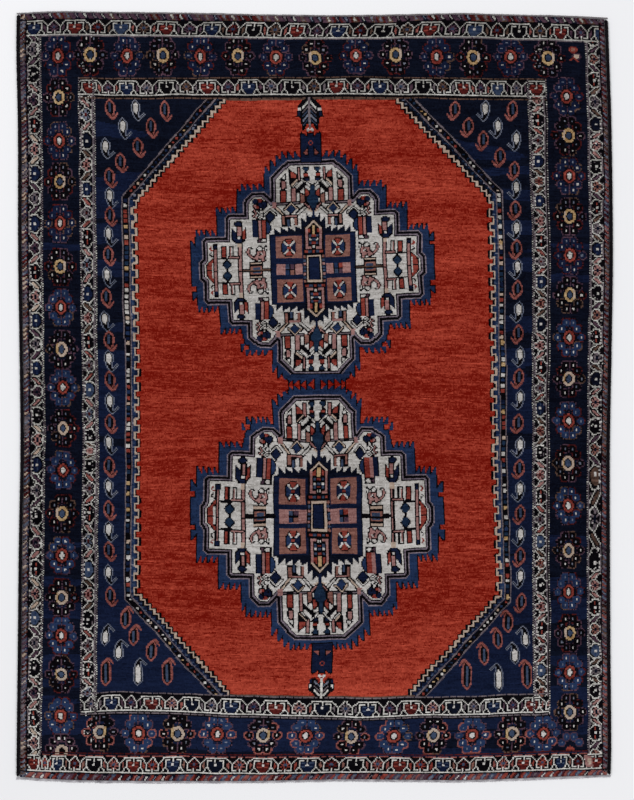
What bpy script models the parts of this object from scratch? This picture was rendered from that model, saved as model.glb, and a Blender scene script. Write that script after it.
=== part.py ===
# A hand-knotted village rug that lies flat on the floor: the knotted wool body,
# a binding of overcast wool down each long side, and a narrow plain-woven web
# with cut warp ends across each end.
#
# The rug's length lies along Y and its width along X. It rests on z = 0, and the
# origin is under the middle of its outline.

import random

import bmesh
import bpy

# Thicknesses and widths, in metres.
PILE_THICKNESS = 0.009
PILE_EDGE_ROUND = 0.0025
BINDING_WIDTH = 0.0095
BINDING_THICKNESS = 0.0075
BINDING_EDGE_ROUND = 0.0028
WEB_THICKNESS = 0.002
WEB_EDGE_ROUND = 0.0004
NEAR_WEB_WIDTH = 0.0078
FAR_WEB_WIDTH = 0.0048
WEB_RAGGEDNESS = 0.0014
GAP_BETWEEN_PIECES = 0.0003

# The edge tables below are measured from a chalk line along the rug and another
# across it. These two put the origin under the middle of the whole outline.
MIDDLE_ACROSS = 0.00090
MIDDLE_ALONG = -0.00074

# Stations that each side and each end is drawn with.
SIDE_STATIONS = 40
END_STATIONS = 32
WEB_STATIONS = 72

# The two long edges of the knotted body wander by up to a finger's width, as
# handwork does. Columns: distance along the rug from its near end as a share of
# its length, left edge in metres from the middle, right edge likewise.
SIDE_EDGES = [
    # along, left,    right
    (0.000, -0.8090, 0.8050),
    (0.040, -0.8085, 0.8068),
    (0.165, -0.8055, 0.8045),
    (0.300, -0.8028, 0.8032),
    (0.430, -0.7982, 0.8030),
    (0.560, -0.8008, 0.8076),
    (0.690, -0.8046, 0.8112),
    (0.850, -0.8052, 0.8076),
    (0.955, -0.8095, 0.8008),
    (1.000, -0.8082, 0.7972),
]

# The two ends of the knotted body. Columns: distance across the rug from its
# left edge as a share of its width, near end in metres from the middle, far end
# likewise.
END_EDGES = [
    # across, near,    far
    (0.000, -1.0440, 1.0530),
    (0.070, -1.0510, 1.0575),
    (0.150, -1.0540, 1.0560),
    (0.280, -1.0550, 1.0535),
    (0.410, -1.0545, 1.0490),
    (0.550, -1.0505, 1.0465),
    (0.680, -1.0520, 1.0495),
    (0.750, -1.0525, 1.0522),
    (0.830, -1.0490, 1.0490),
    (0.920, -1.0430, 1.0455),
    (1.000, -1.0385, 1.0392),
]

# Rough colours of the wool and cotton.
MADDER_AND_NAVY = (0.16, 0.045, 0.05)
BLACK_WOOL = (0.012, 0.010, 0.012)
UNDYED_COTTON = (0.62, 0.58, 0.54)


def clear_scene():
    for item in list(bpy.data.objects):
        bpy.data.objects.remove(item, do_unlink=True)


def smooth_between(table, share, column):
    """One column of a table at a share from 0 to 1, eased between its rows."""
    last = len(table) - 1
    for i in range(last):
        if share <= table[i + 1][0] or i == last - 1:
            break
    before = table[max(i - 1, 0)]
    start = table[i]
    end = table[i + 1]
    after = table[min(i + 2, last)]
    span = end[0] - start[0]
    t = (share - start[0]) / span
    slope_in = (end[column] - before[column]) / max(end[0] - before[0], 1e-9) * span
    slope_out = (after[column] - start[column]) / max(after[0] - start[0], 1e-9) * span
    t2 = t * t
    t3 = t2 * t
    return (
        (2 * t3 - 3 * t2 + 1) * start[column]
        + (t3 - 2 * t2 + t) * slope_in
        + (3 * t2 - 2 * t3) * end[column]
        + (t3 - t2) * slope_out
    )


def on_rug(across, along):
    """The place of a knot: shares of the width and of the length to metres."""
    left = smooth_between(SIDE_EDGES, along, 1)
    right = smooth_between(SIDE_EDGES, along, 2)
    near = smooth_between(END_EDGES, across, 1)
    far = smooth_between(END_EDGES, across, 2)
    x = left + (right - left) * across - MIDDLE_ACROSS
    y = near + (far - near) * along - MIDDLE_ALONG
    return x, y


def shares(count):
    return [i / count for i in range(count + 1)]


def pile_outline():
    near = [on_rug(s, 0.0) for s in shares(END_STATIONS)]
    right = [on_rug(1.0, s) for s in shares(SIDE_STATIONS)]
    far = [on_rug(s, 1.0) for s in reversed(shares(END_STATIONS))]
    left = [on_rug(0.0, s) for s in reversed(shares(SIDE_STATIONS))]
    return near[:-1] + right[:-1] + far[:-1] + left[:-1]


def binding_outline(across, outward):
    """A strip beside one long edge. outward is -1 on the left and +1 on the right."""
    edge = [on_rug(across, s) for s in shares(SIDE_STATIONS)]
    inner = [(x + outward * GAP_BETWEEN_PIECES, y) for x, y in edge]
    outer = [(x + outward * BINDING_WIDTH, y) for x, y in inner]
    return inner + outer[::-1]


def web_outline(along, outward, width, seed):
    """A ragged strip beyond one end, as long as the rug is wide with its bindings."""
    draw = random.Random(seed)
    reach = BINDING_WIDTH + GAP_BETWEEN_PIECES
    inner = []
    outer = []
    for s in shares(WEB_STATIONS):
        x, y = on_rug(s, along)
        x = x + reach * (2 * s - 1)
        inner.append((x, y + outward * GAP_BETWEEN_PIECES))
        uneven = draw.uniform(-WEB_RAGGEDNESS, WEB_RAGGEDNESS)
        outer.append((x, y + outward * (GAP_BETWEEN_PIECES + width + uneven)))
    return inner + outer[::-1]


def wool(name, colour, roughness):
    material = bpy.data.materials.new(name)
    material.use_nodes = True
    shader = material.node_tree.nodes["Principled BSDF"]
    shader.inputs["Base Color"].default_value = (*colour, 1.0)
    shader.inputs["Roughness"].default_value = roughness
    shader.inputs["Metallic"].default_value = 0.0
    return material


def flat_piece(name, outline, thickness, edge_round, material, collection):
    """A closed flat solid of the given outline that rests on z = 0, edges rounded."""
    curve = bpy.data.curves.new(name + "_outline", "CURVE")
    curve.dimensions = "2D"
    curve.fill_mode = "BOTH"
    curve.extrude = thickness / 2
    spline = curve.splines.new("POLY")
    spline.points.add(len(outline) - 1)
    for point, (x, y) in zip(spline.points, outline):
        point.co = (x, y, 0.0, 1.0)
    spline.use_cyclic_u = True
    drawn = bpy.data.objects.new(name + "_outline", curve)
    drawn.location.z = thickness / 2
    collection.objects.link(drawn)
    bpy.context.view_layer.update()
    evaluated = drawn.evaluated_get(bpy.context.evaluated_depsgraph_get())
    mesh = bpy.data.meshes.new_from_object(evaluated)
    mesh.name = name
    work = bmesh.new()
    work.from_mesh(mesh)
    bmesh.ops.remove_doubles(work, verts=work.verts, dist=0.00001)
    bmesh.ops.recalc_face_normals(work, faces=work.faces)
    work.to_mesh(mesh)
    work.free()
    mesh.materials.clear()
    mesh.materials.append(material)
    piece = bpy.data.objects.new(name, mesh)
    piece.matrix_world = drawn.matrix_world.copy()
    collection.objects.link(piece)
    bpy.data.objects.remove(drawn, do_unlink=True)
    rounding = piece.modifiers.new("rounded rims", "BEVEL")
    rounding.width = edge_round
    rounding.segments = 2
    rounding.limit_method = "ANGLE"
    rounding.angle_limit = 1.2
    mesh.shade_smooth()
    mesh.set_sharp_from_angle(angle=0.7)
    return piece


def main():
    clear_scene()
    rug = bpy.data.collections.new("persian_rug")
    bpy.context.scene.collection.children.link(rug)
    knotted_wool = wool("knotted wool", MADDER_AND_NAVY, 0.9)
    dark_wool = wool("overcast wool", BLACK_WOOL, 0.85)
    cotton = wool("woven ends", UNDYED_COTTON, 0.95)
    flat_piece(
        "pile", pile_outline(), PILE_THICKNESS, PILE_EDGE_ROUND, knotted_wool, rug
    )
    for name, across, outward in (
        ("binding_left", 0.0, -1),
        ("binding_right", 1.0, 1),
    ):
        outline = binding_outline(across, outward)
        flat_piece(name, outline, BINDING_THICKNESS, BINDING_EDGE_ROUND, dark_wool, rug)
    for name, along, outward, width, seed in (
        ("end_web_near", 0.0, -1, NEAR_WEB_WIDTH, 3),
        ("end_web_far", 1.0, 1, FAR_WEB_WIDTH, 7),
    ):
        outline = web_outline(along, outward, width, seed)
        flat_piece(name, outline, WEB_THICKNESS, WEB_EDGE_ROUND, cotton, rug)


main()
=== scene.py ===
# %% [markdown]
# # A hand-knotted rug, made one knot at a time
#
# This script gives the flat CAD rug its looks. The real rug is a woven base of cotton warps and
# wefts with a row of wool knots tied across it after every weft. The knots are the picture:
# the weaver follows a small set of charts from memory, and each knot has one dye.
# The model is made the same way. A plan holds one dye for every knot, the pile is a mesh with
# one face for every knot, and the hand's unevenness is in where the knots lie.

# %% The frame and its box
import bpy
import math
import numpy as np
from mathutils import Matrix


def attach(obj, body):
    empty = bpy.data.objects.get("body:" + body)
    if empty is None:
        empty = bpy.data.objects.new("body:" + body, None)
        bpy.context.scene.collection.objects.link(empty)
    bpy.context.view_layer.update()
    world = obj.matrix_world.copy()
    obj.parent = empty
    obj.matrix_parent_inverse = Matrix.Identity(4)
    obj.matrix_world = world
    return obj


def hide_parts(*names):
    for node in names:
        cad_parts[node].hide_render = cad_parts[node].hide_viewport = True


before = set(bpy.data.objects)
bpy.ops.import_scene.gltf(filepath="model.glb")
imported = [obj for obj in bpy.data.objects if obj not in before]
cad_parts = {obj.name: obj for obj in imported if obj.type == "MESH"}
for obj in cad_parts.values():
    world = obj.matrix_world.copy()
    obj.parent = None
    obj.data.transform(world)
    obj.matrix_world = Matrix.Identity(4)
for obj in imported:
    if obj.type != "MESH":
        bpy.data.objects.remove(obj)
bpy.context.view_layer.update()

print("nodes", sorted(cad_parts))

# %% [markdown]
# ## The dyes
#
# A village workshop has few pots of dye, but strong and weak baths make some twenty colours of
# them. No bath gives one even colour: the wool takes more or less of it from skein to skein, and
# the tips of the tufts fade. So every dye is a pair, a deep shade and a light one, and each knot
# lies somewhere between the two.
# The pairs are screen colours from 0 to 255, turned into linear light for the shader.

# %% The dyes, each with its deep and its light shade
DYES = {
    "black": ((3, 2, 4), (13, 11, 15)),
    "night": ((5, 6, 15), (15, 20, 35)),
    "navy": ((9, 14, 32), (22, 31, 57)),
    "blue": ((15, 25, 47), (36, 52, 84)),
    "teal": ((13, 24, 42), (32, 50, 72)),
    "slate": ((30, 39, 58), (60, 72, 94)),
    "sky": ((62, 70, 86), (120, 122, 134)),
    "grey": ((66, 58, 64), (116, 106, 110)),
    "ivory": ((127, 123, 118), (194, 190, 187)),
    "chalk": ((130, 128, 123), (208, 205, 200)),
    "lilac": ((74, 66, 75), (132, 120, 130)),
    "cream": ((142, 122, 108), (178, 162, 148)),
    "straw": ((128, 98, 62), (182, 158, 122)),
    "salmon": ((90, 56, 50), (138, 97, 87)),
    "rust": ((82, 40, 36), (148, 88, 82)),
    "pink": ((108, 72, 70), (158, 120, 116)),
    "madder": ((103, 13, 5), (177, 72, 54)),
    "red": ((84, 28, 24), (144, 68, 58)),
    "wine": ((32, 8, 10), (86, 30, 28)),
    "mauve": ((40, 26, 38), (86, 62, 74)),
    "brown": ((46, 34, 28), (98, 74, 64)),
}
INDEX = {name: number for number, name in enumerate(DYES)}
print(len(DYES), "dyes")

# %% [markdown]
# ## The plan
#
# The rug is about 490 knots wide and 640 knots long, so a knot is about 3.3 mm square, which
# is a usual village gauge. In the plan, columns count from the left edge and rows count from
# the far end, as the camera sees the rug. Everything in the plan is level and square; the
# weaving pulls it out of true later.

# %% The empty plan
COLUMNS = 490
ROWS = 640
plan = np.full((ROWS, COLUMNS), INDEX["black"], dtype=np.int8)
rng = np.random.default_rng(1207)

# %% [markdown]
# ## Where the weaving pulled the plan
#
# The real rug isn't square. The near half was beaten down less than the far half, the far
# medallion leans a little, and the borders bow towards the middle. These two short tables say
# how many knots the work has moved, down and across, at a few stations. Between stations the
# move is smooth. A motif that is placed where it is seen goes through planned().

# %% How far the work has moved, in knots, at each station
DRIFT_COLUMNS = [0, 48, 75, 100, 140, 195, 243, 290, 345, 375, 398, 425, 442, 490]
DRIFT_DOWN = {
    0: [0, 0, 0, 0, 0, 0, 0, 0, 0, 0, 0, 0, 0, 0],
    18: [0, 0, 0, 0, 0, 0, 0, 0, .3, .5, .6, .8, 1, 1],
    62: [0, 0, 0, -.5, -1, -2.8, -4, -4.8, -2.2, -.7, -1.2, -2, -2, -1],
    75: [0, 0, 0, 0, -.5, -1.6, -2.4, -2.8, -1.6, -.7, -.8, -1, -1, -.5],
    118: [0, 0, 0, .5, 2.4, 1.6, 0, -1.6, -2.2, -1.4, -.5, 0, 0, 0],
    150: [0, 0, 0, 1, 3.2, 1.7, 0, -1.7, -3.2, -2, -.6, 0, 0, 0],
    270: [0, 0, 0, 1, 3.2, 1.7, 0, -1.7, -3.2, -2, -.6, 0, 0, 0],
    310: [0, 0, 0, 0, 0, 0, 0, 0, 0, 0, 0, 0, 0, 0],
    340: [0, 0, 0, 0, -1, -2.2, 0, -2.2, -1, 0, 0, 0, 0, 0],
    365: [0, 0, 0, 0, -3.2, -3.2, 0, -3.2, -3.4, 0, 0, 0, 0, 0],
    392: [0, 0, 0, 0, -3.4, -1.8, 0, -1.8, -3.6, 0, 0, 0, 0, 0],
    420: [0, 0, 0, 0, -.6, 0, 0, 0, -.6, 0, 0, 0, 0, 0],
    470: [0, 0, 0, 0, 0, .6, .6, .6, 0, 0, 0, 0, 0, 0],
    488: [0, 0, 0, 0, .4, 2.6, 1.8, 2.6, .4, 0, 0, 0, 0, 0],
    514: [0, 0, 0, 0, 0, 2.4, 3, 2.6, 0, 0, 0, 0, 0, 0],
    540: [0, 0, -.5, -.5, 0, 0, 0, 0, 0, 0, 0, 0, 0, 0],
    577: [0, -2, -4, -4, -2.6, 0, 2.5, 3.5, .7, .7, .4, 0, 0, 0],
    619: [-.5, -1.5, -1.5, -1.5, -1.5, -.5, 0, 0, 0, 0, 0, 0, 0, 0],
    640: [0, 0, 0, 0, 0, 0, 0, 0, 0, 0, 0, 0, 0, 0],
}
DRIFT_ACROSS = {
    0: [0, 0, 0, 0, 0, 0, 0, 0, 0, 0, 0, 0, 0, 0],
    20: [0, -.5, -.5, -1, -2, -4, -5, -5, -5, -4, -3, -3, -1, 0],
    80: [0, -1, -1, -1, -2, -4, -5, -5, -4, -3.5, -3, -3, -1, 0],
    150: [0, -.5, -.5, -.6, -4, -4.4, -3.1, -4.4, -4.8, -3.6, -2.8, -1.5, -1, 0],
    212: [0, 0, 0, 0, -3, -3.2, -1.8, -3.2, -3.5, -2, -1.2, -.4, 0, 0],
    255: [0, 0, 0, 0, -1.6, -1.6, -.2, -1.5, -1.6, -.6, 0, .3, .2, 0],
    308: [0, 0, 0, 0, 0, 0, 0, 0, .5, .6, .7, .7, .5, 0],
    340: [0, .4, .4, .4, 1, 3.4, .8, -2.4, -1.6, .6, 1, 1, .8, 0],
    390: [0, .6, .6, .6, 1, 2, 1.8, .6, -1.6, .8, 1.4, 1.6, 1.2, 0],
    420: [0, .7, .7, .7, 1.4, 2.4, 2.5, 1.4, -.2, 1.4, 2, 2, 1.5, 0],
    480: [0, .7, .7, .7, 1.4, 3, 3.6, 3, 1.6, 2, 2, 2, 1.5, 0],
    530: [0, .7, .7, .7, 1.5, 4, 5, 4.4, 3, 3, 2, 2, 1.5, 0],
    600: [0, .7, .7, .7, 1, 2, 3, 3, 3, 2, 2, 2, 1, 0],
    640: [0, 0, 0, 0, 0, 0, 0, 0, 0, 0, 0, 0, 0, 0],
}

# %% From the stations to every corner between knots
def soften(field, reach, rounds=3):
    """A running mean along both axes, a few times over, with the edge values held."""
    for _ in range(rounds):
        for axis in (0, 1):
            pads = [(0, 0), (0, 0)]
            pads[axis] = (reach + 1, reach)
            total = np.cumsum(np.pad(field, pads, mode="edge"), axis=axis)
            ahead = np.take(total, range(2 * reach + 1, total.shape[axis]), axis=axis)
            behind = np.take(total, range(0, total.shape[axis] - 2 * reach - 1), axis=axis)
            field = (ahead - behind) / (2 * reach + 1)
    return field


def drift_field(table):
    """The move at every corner between knots, (ROWS + 1) by (COLUMNS + 1)."""
    stations, rows, columns = sorted(table), np.arange(ROWS + 1), np.arange(COLUMNS + 1)
    across = np.array([np.interp(columns, DRIFT_COLUMNS, table[s]) for s in stations])
    full = np.stack([np.interp(rows, stations, across[:, c]) for c in range(COLUMNS + 1)], 1)
    return soften(full, 5)


drift_down = drift_field(DRIFT_DOWN)
drift_across = drift_field(DRIFT_ACROSS)
for moved in (drift_down, drift_across):
    distance = np.minimum(np.arange(ROWS + 1), np.arange(ROWS + 1)[::-1])
    moved *= np.clip(distance / 6, 0, 1)[:, None]
print("largest move down", round(float(np.abs(drift_down).max()), 1), "knots")
print("largest move across", round(float(np.abs(drift_across).max()), 1), "knots")


def planned(column, row):
    """The place in the plan of something that is seen at this column and row."""
    c = int(min(max(column, 0), COLUMNS))
    r = int(min(max(row, 0), ROWS))
    return column - drift_across[r, c], row - drift_down[r, c]


# %% [markdown]
# ## The pen
#
# Charts and shapes reach the plan through a pen. A pen has its own middle, its own scale and
# may be mirrored, so one drawing serves for four quarters of a medallion. Lines are as thick as
# they are told to be in knots, whatever the scale, because a weaver can't tie half a knot.

# %% A pen that dyes knots
class Pen:
    """Dyes knots around a middle. x runs right and y runs down before the pen is mirrored."""

    def __init__(self, column=0.0, row=0.0, wide=1.0, tall=1.0, cloth=plan):
        self.column, self.row, self.wide, self.tall = column, row, wide, tall
        self.cloth = cloth

    def place(self, points):
        """Points in the pen's own measure, as columns and rows."""
        points = np.array(points, float).reshape(-1, 2)
        return points * (self.wide, self.tall) + (self.column, self.row)

    def window(self, placed, margin):
        """The part of the plan around some places, and its knots' middles."""
        low = np.floor(placed.min(0) - margin).astype(int)
        high = np.ceil(placed.max(0) + margin).astype(int) + 1
        c0, c1 = (int(v) for v in np.clip([low[0], high[0]], 0, self.cloth.shape[1]))
        r0, r1 = (int(v) for v in np.clip([low[1], high[1]], 0, self.cloth.shape[0]))
        middles = np.meshgrid(np.arange(c0, c1) + 0.5, np.arange(r0, r1) + 0.5)
        return self.cloth[r0:r1, c0:c1], middles[0], middles[1]

    def area(self, points, dye):
        """Fills a closed outline."""
        placed = self.place(points)
        part, columns, rows = self.window(placed, 1)
        inside = np.zeros(part.shape, bool)
        for (c0, r0), (c1, r1) in zip(placed, np.roll(placed, -1, 0)):
            if r0 != r1:
                cuts = (rows < r0) != (rows < r1)
                inside ^= cuts & (columns < c0 + (rows - r0) * (c1 - c0) / (r1 - r0))
        part[inside] = INDEX[dye]
        return self

    def box(self, x0, y0, x1, y1, dye):
        return self.area([(x0, y0), (x1, y0), (x1, y1), (x0, y1)], dye)

    def line(self, points, dye, thick=1.1):
        """A line through points, as thick as so many knots."""
        placed = self.place(points)
        part, columns, rows = self.window(placed, thick + 1)
        for (c0, r0), (c1, r1) in zip(placed[:-1], placed[1:]):
            run = max((c1 - c0) ** 2 + (r1 - r0) ** 2, 1e-9)
            share = ((columns - c0) * (c1 - c0) + (rows - r0) * (r1 - r0)) / run
            share = np.clip(share, 0, 1)
            away = np.hypot(columns - c0 - share * (c1 - c0), rows - r0 - share * (r1 - r0))
            part[away <= thick / 2] = INDEX[dye]
        return self

    def thread(self, points, dye):
        """A line exactly one knot wide."""
        placed = self.place(points)
        for (c0, r0), (c1, r1) in zip(placed, placed[1:]):
            count = max(int(math.ceil(max(abs(c1 - c0), abs(r1 - r0)))), 1)
            for k in range(count + 1):
                c, r = int(c0 + (c1 - c0) * k / count), int(r0 + (r1 - r0) * k / count)
                if 0 <= r < self.cloth.shape[0] and 0 <= c < self.cloth.shape[1]:
                    self.cloth[r, c] = INDEX[dye]
        return self

    def oval(self, x, y, rx, ry, dye, power=2.0):
        """A filled oval; a higher power squares it up."""
        placed = self.place([(x - rx, y - ry), (x + rx, y + ry)])
        part, columns, rows = self.window(placed, 1)
        (cx, cy), = self.place([(x, y)])
        dx = np.abs(columns - cx) / (rx * abs(self.wide))
        dy = np.abs(rows - cy) / (ry * abs(self.tall))
        part[dx ** power + dy ** power <= 1] = INDEX[dye]
        return self

    def diamond(self, x, y, rx, ry, dye):
        return self.oval(x, y, rx, ry, dye, power=1.0)

    def chart(self, rows, x, y, letters):
        """Stamps a chart with its middle at x, y. A letter that isn't in letters is left out."""
        (cx, cy), = self.place([(x, y)])
        wide = max(len(row) for row in rows)
        left = int(round(cx - wide / 2))
        top = int(round(cy - len(rows) / 2))
        for j, row in enumerate(rows if self.tall > 0 else rows[::-1]):
            row = row.ljust(wide, " ")
            for i, letter in enumerate(row if self.wide > 0 else row[::-1]):
                c, r = left + i, top + j
                if letter in letters and 0 <= c < COLUMNS and 0 <= r < ROWS:
                    self.cloth[r, c] = INDEX[letters[letter]]
        return self


ground = Pen()


def seen(column, row, wide=1.0, tall=1.0):
    """A pen for a motif at the place where the rug shows it."""
    return Pen(*planned(column, row), wide, tall)


# %% [markdown]
# ## The dark ground
#
# The broad main border, between the two guards, has a ground that is almost black, and bluer
# where a fresh lot of wool came in. A lot is used up over some rows, so night and navy change
# over in bands a few rows deep. wander() gives a slow, seeded wandering between -1 and 1 that is
# long across the rug and short along it, as lots of wool are.

# %% The dark ground and its lots
def wander(seed, across, along):
    """Slow unevenness over the whole plan, longer across than along."""
    field = np.random.default_rng(seed).normal(size=(ROWS, COLUMNS))
    for _ in range(2):
        for axis, reach in ((0, along), (1, across)):
            kernel = np.ones(2 * reach + 1) / (2 * reach + 1)
            pads = [(0, 0), (0, 0)]
            pads[axis] = (reach, reach)
            wide = np.pad(field, pads, mode="wrap")
            field = np.apply_along_axis(np.convolve, axis, wide, kernel, "valid")
    return field / np.abs(field).max()


lots = wander(11, 60, 3)
row_share = np.linspace(0, 1, ROWS)[:, None]
plan[:] = INDEX["night"]
plan[lots + (row_share - 0.72) * 1.5 > 0.12] = INDEX["navy"]
print("share of the plan in the bluer lot", round(float((plan == INDEX["navy"]).mean()), 2))

# %% [markdown]
# ## Rosettes of the main border
#
# One rosette is ten round petals about an oval heart, and the border is that rosette over and
# over. The weaver changes only the dyes: every second one has blue petals and a red ring, and
# the others have dark petals and a straw or cream ring. Each petal has a one-knot outline and
# a single pale knot or two in it, which from a step away reads as a ring of dots.

# %% A rosette
PETALS = [(3.1, 12.4, 4.1), (6.9, 7.3, 4.0), (10.3, 0.0, 3.6)]
OUTLINES = ["mauve", "mauve", "wine", "mauve", "brown", "wine"]
BRIGHT_OUTLINES = ["mauve", "rust", "mauve", "rust", "brown", "mauve"]


def rosette(column, row, kind, petal="blue", wide=1.0, tall=1.0):
    """kind is the ring around the heart: "red" with blue petals, or pale with black petals."""
    pen = seen(column, row, wide, tall)
    dice = np.random.default_rng(int(column * 7 + row * 13))
    petal = petal if kind == "red" else "black"
    spots = [
        (sx * x, sy * y, r) for x, y, r in PETALS for sx in (-1, 1) for sy in (-1, 1) if y or sy > 0
    ]
    for x, y, r in spots:
        dyes = BRIGHT_OUTLINES if row > 595 else OUTLINES
        pen.oval(x, y, r, r, dyes[dice.integers(len(dyes))], 2.4)
    for x, y, r in spots:
        pen.oval(x * 0.965, y * 0.965, r - 0.85, r - 0.85, petal, 2.4)
    pen.line([(0, -14), (0, -7)], "mauve", 1).line([(0, 7), (0, 14)], "mauve", 1)
    for x, y, _ in spots:
        dot = "ivory" if dice.random() < (0.6 if y > 4 else 0.4) else "sky"
        pen.oval(x * 0.96, y * 0.96, 0.66, 0.84, dot)
    if kind == "red":
        pen.oval(0, 0, 5.6, 6.5, "black", 1.9).oval(0, 0, 4.8, 5.7, "red", 1.9)
        pen.oval(0, 0, 2.9, 3.8, "black", 2.0).oval(0, 0, 1.8, 2.8, "ivory", 1.7)
    else:
        side = dice.integers(2) * 2 - 1
        main, accent = ("straw", "cream") if kind == "straw" else ("cream", "straw")
        pen.oval(0, 0, 5.8, 6.8, "black", 1.9).oval(0, 0, 5.0, 6.0, main, 1.9)
        pen.area([(side * 3, -5), (side * 4.6, -3.6), (side * 4.6, 2), (side * 3, 4.6)], accent)
        pen.oval(0, 0, 3.1, 3.8, "black", 1.8).oval(0, 0, 2.1, 2.8, "slate", 1.8)


# %% The four rows of rosettes
FAR_ROW = [
    (31.5, 36), (59, 35), (89.5, 35.5), (119.5, 35), (151, 35), (182.5, 34), (214.5, 34.5),
    (247, 35), (281, 33.5), (314, 33), (348, 35.5), (379, 36), (410, 35), (441.5, 35),
]
NEAR_ROW = [
    (66.5, 599), (98.5, 600), (131, 600), (165, 600.5), (202.5, 602), (238, 603), (276, 604),
    (311.5, 603.5), (344.5, 602.5), (377, 602.5), (410, 602), (436, 603),
]
LEFT_ROWS = [71, 107, 141, 176, 212, 246, 281, 313, 347, 382, 418, 453, 488, 520, 552, 587]
RIGHT_ROWS = [67, 100, 134, 168, 201, 234, 270, 305, 340, 376, 412, 449, 484, 519, 552, 586]
for number, (column, row) in enumerate(FAR_ROW):
    rosette(column, row, ("red", "straw")[number % 2], "navy", 1.05, 1.08)
for number, (column, row) in enumerate(NEAR_ROW):
    rosette(column, row, ("cream", "red")[number % 2], "blue", 1.12, 0.98)
for number, row in enumerate(LEFT_ROWS):
    pale = "straw" if row < 260 or row == 418 else "cream"
    rosette(31.5 + row / 230, row, (pale, "red")[number % 2], "navy" if row < 220 else "blue")
for number, row in enumerate(RIGHT_ROWS):
    pale = "straw" if row < 260 or row == 519 else "cream"
    rosette(456 + row / 200, row, ("red", pale)[number % 2], "navy" if row < 220 else "blue")
WORN_SHARE = 0.26
worn = np.random.default_rng(77).random(plan.shape) < WORN_SHARE
worn &= np.isin(plan, [INDEX["mauve"], INDEX["wine"], INDEX["brown"]])
plan[worn] = INDEX["black"]
print(len(FAR_ROW) + len(NEAR_ROW) + len(LEFT_ROWS) + len(RIGHT_ROWS), "rosettes")

# %% [markdown]
# ## Where the border doesn't come out even
#
# The rosettes don't divide the border exactly. The weaver filled what was left over in the
# corners with cut-off flowers: a few red and pale petals at the far right, and half a flower in
# each near corner.

# %% The cut-off flowers in the corners
odd = seen(464, 31)
odd.oval(-1, -4, 3.4, 3, "red").oval(-1, -4, 1.8, 1.6, "salmon").oval(1.5, 2, 3.6, 3.2, "mauve")
odd.oval(1.5, 2, 2.2, 2, "cream").line([(-4, 6), (-1, 3), (3, 7)], "red", 1.4)
left_half = seen(34, 613)
for x, y in [(-9, 1), (-6, -5), (-2, -8), (3, -8), (7, -5), (10, 1)]:
    left_half.oval(x, y, 4, 3.6, "mauve", 2.6).oval(x, y, 3, 2.7, "black", 2.6)
    left_half.box(x * 0.9 - 0.7, y * 0.9 - 0.7, x * 0.9 + 0.7, y * 0.9 + 0.7, "ivory")
left_half.oval(0.5, 3, 5, 5, "cream", 2.4).oval(0.5, 3, 2.6, 3, "black", 2.0)
right_half = seen(459, 613)
for x, y in [(-7.5, -1.5), (-3.2, -6), (3.2, -6), (7.5, -1.5)]:
    right_half.oval(x, y, 3.6, 3.8, "mauve", 2.4).oval(x, y, 2.8, 3.0, "blue", 2.4)
    right_half.oval(x * 0.96, y * 0.96, 0.75, 0.95, "sky")
right_half.area([(-3.8, 5), (-3, 2.6), (0, 1.4), (3, 2.6), (3.8, 5)], "red")

# %% [markdown]
# ## The guard stripes
#
# A guard stripe is one thin pale line on black that folds itself into hearts. On each side of a
# heart the line flares into two feet, and above the gap it opens like a Y. Between the heart and
# the Y stands a leaf, and between two Ys a small rosette. The unit is drawn once by its corner
# points: half of it, from the middle of a heart (x = 0) to the middle of a rosette, and the
# other half is its mirror image. y counts from the side that the hearts' tops are on. The
# guards along the sides are shallower than those along the ends, so their strokes lean more.

# %% One half of the unit of each guard
END_UNIT = {
    "deep": {"red": "wine", "blue": "navy", "teal": "navy"},
    "half": 16.0, "depth": 13, "flower": (6.2, 3.6, 3.7), "dot": 6.2, "tops": [], "pale": [],
    "line": [
        [(0, 0.5), (7, 0.5), (11.2, 5), (11.2, 10.4), (13.7, 10.4)],
        [(15.4, 0.5), (11.2, 5)],
        [(2.8, 2.5), (5.7, 2.5), (5.7, 8), (2.6, 12.4)],
        [(5.7, 8), (9.0, 12.4)],
        [(0, 12.5), (16, 12.5)],
        [(0, 1), (0, 4)],
    ],
    "heart": [
        (-1, 4.4), (0, 4.4), (1.2, 3.1), (3.2, 3.0), (4.7, 4.0), (4.8, 7.8), (1.2, 12), (-1, 12),
    ],
    "veins": [[(1.8, 4.5), (3.6, 4.5)], [(1.6, 7.5), (3.4, 7.5)]],
    "leaf": [(8.1, 3.6), (8.7, 4.4), (9.4, 6.8), (9.0, 9.8), (8.3, 9.0), (7.5, 6.6)],
    "stem": [(16, 9), (16, 12)],
}
SIDE_UNIT = {
    "deep": {"red": "black", "blue": "navy", "teal": "navy"},
    "half": 17.0, "depth": 11, "flower": (4.9, 4.3, 3.2), "dot": 5.0,
    "tops": [(0.2, 1.4), (2.8, 1.2), (5.4, 2.6)],
    "pale": [[(0, 0.5), (7, 0.5)], [(14.4, 0.5), (17, 0.5)], [(0, 10.5), (17, 10.5)]],
    "line": [
        [(7.4, 0.5), (12.4, 5.6), (12.8, 7.8), (14.2, 9.5), (16, 9.7)],
        [(15.6, 0.5), (12.4, 4.8)],
        [(5.4, 1.6), (5.9, 4.6), (10.9, 9.9)],
        [(5.9, 5.0), (5.9, 7.2), (3.0, 10)],
    ],
    "heart": [
        (-1, 3), (0, 2.6), (1, 2), (3.6, 2), (4.6, 3), (4.7, 5.6), (3.2, 7.8), (0, 9.4), (-1, 9.4),
    ],
    "veins": [[(2.0, 5.0), (3.8, 5.0)]],
    "leaf": [(6.9, 2.3), (8.1, 2.4), (11.4, 6.4), (11.6, 8.3), (10.5, 7.9), (7.2, 4.1)],
    "stem": [(17, 8.2), (17, 10)],
}
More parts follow.
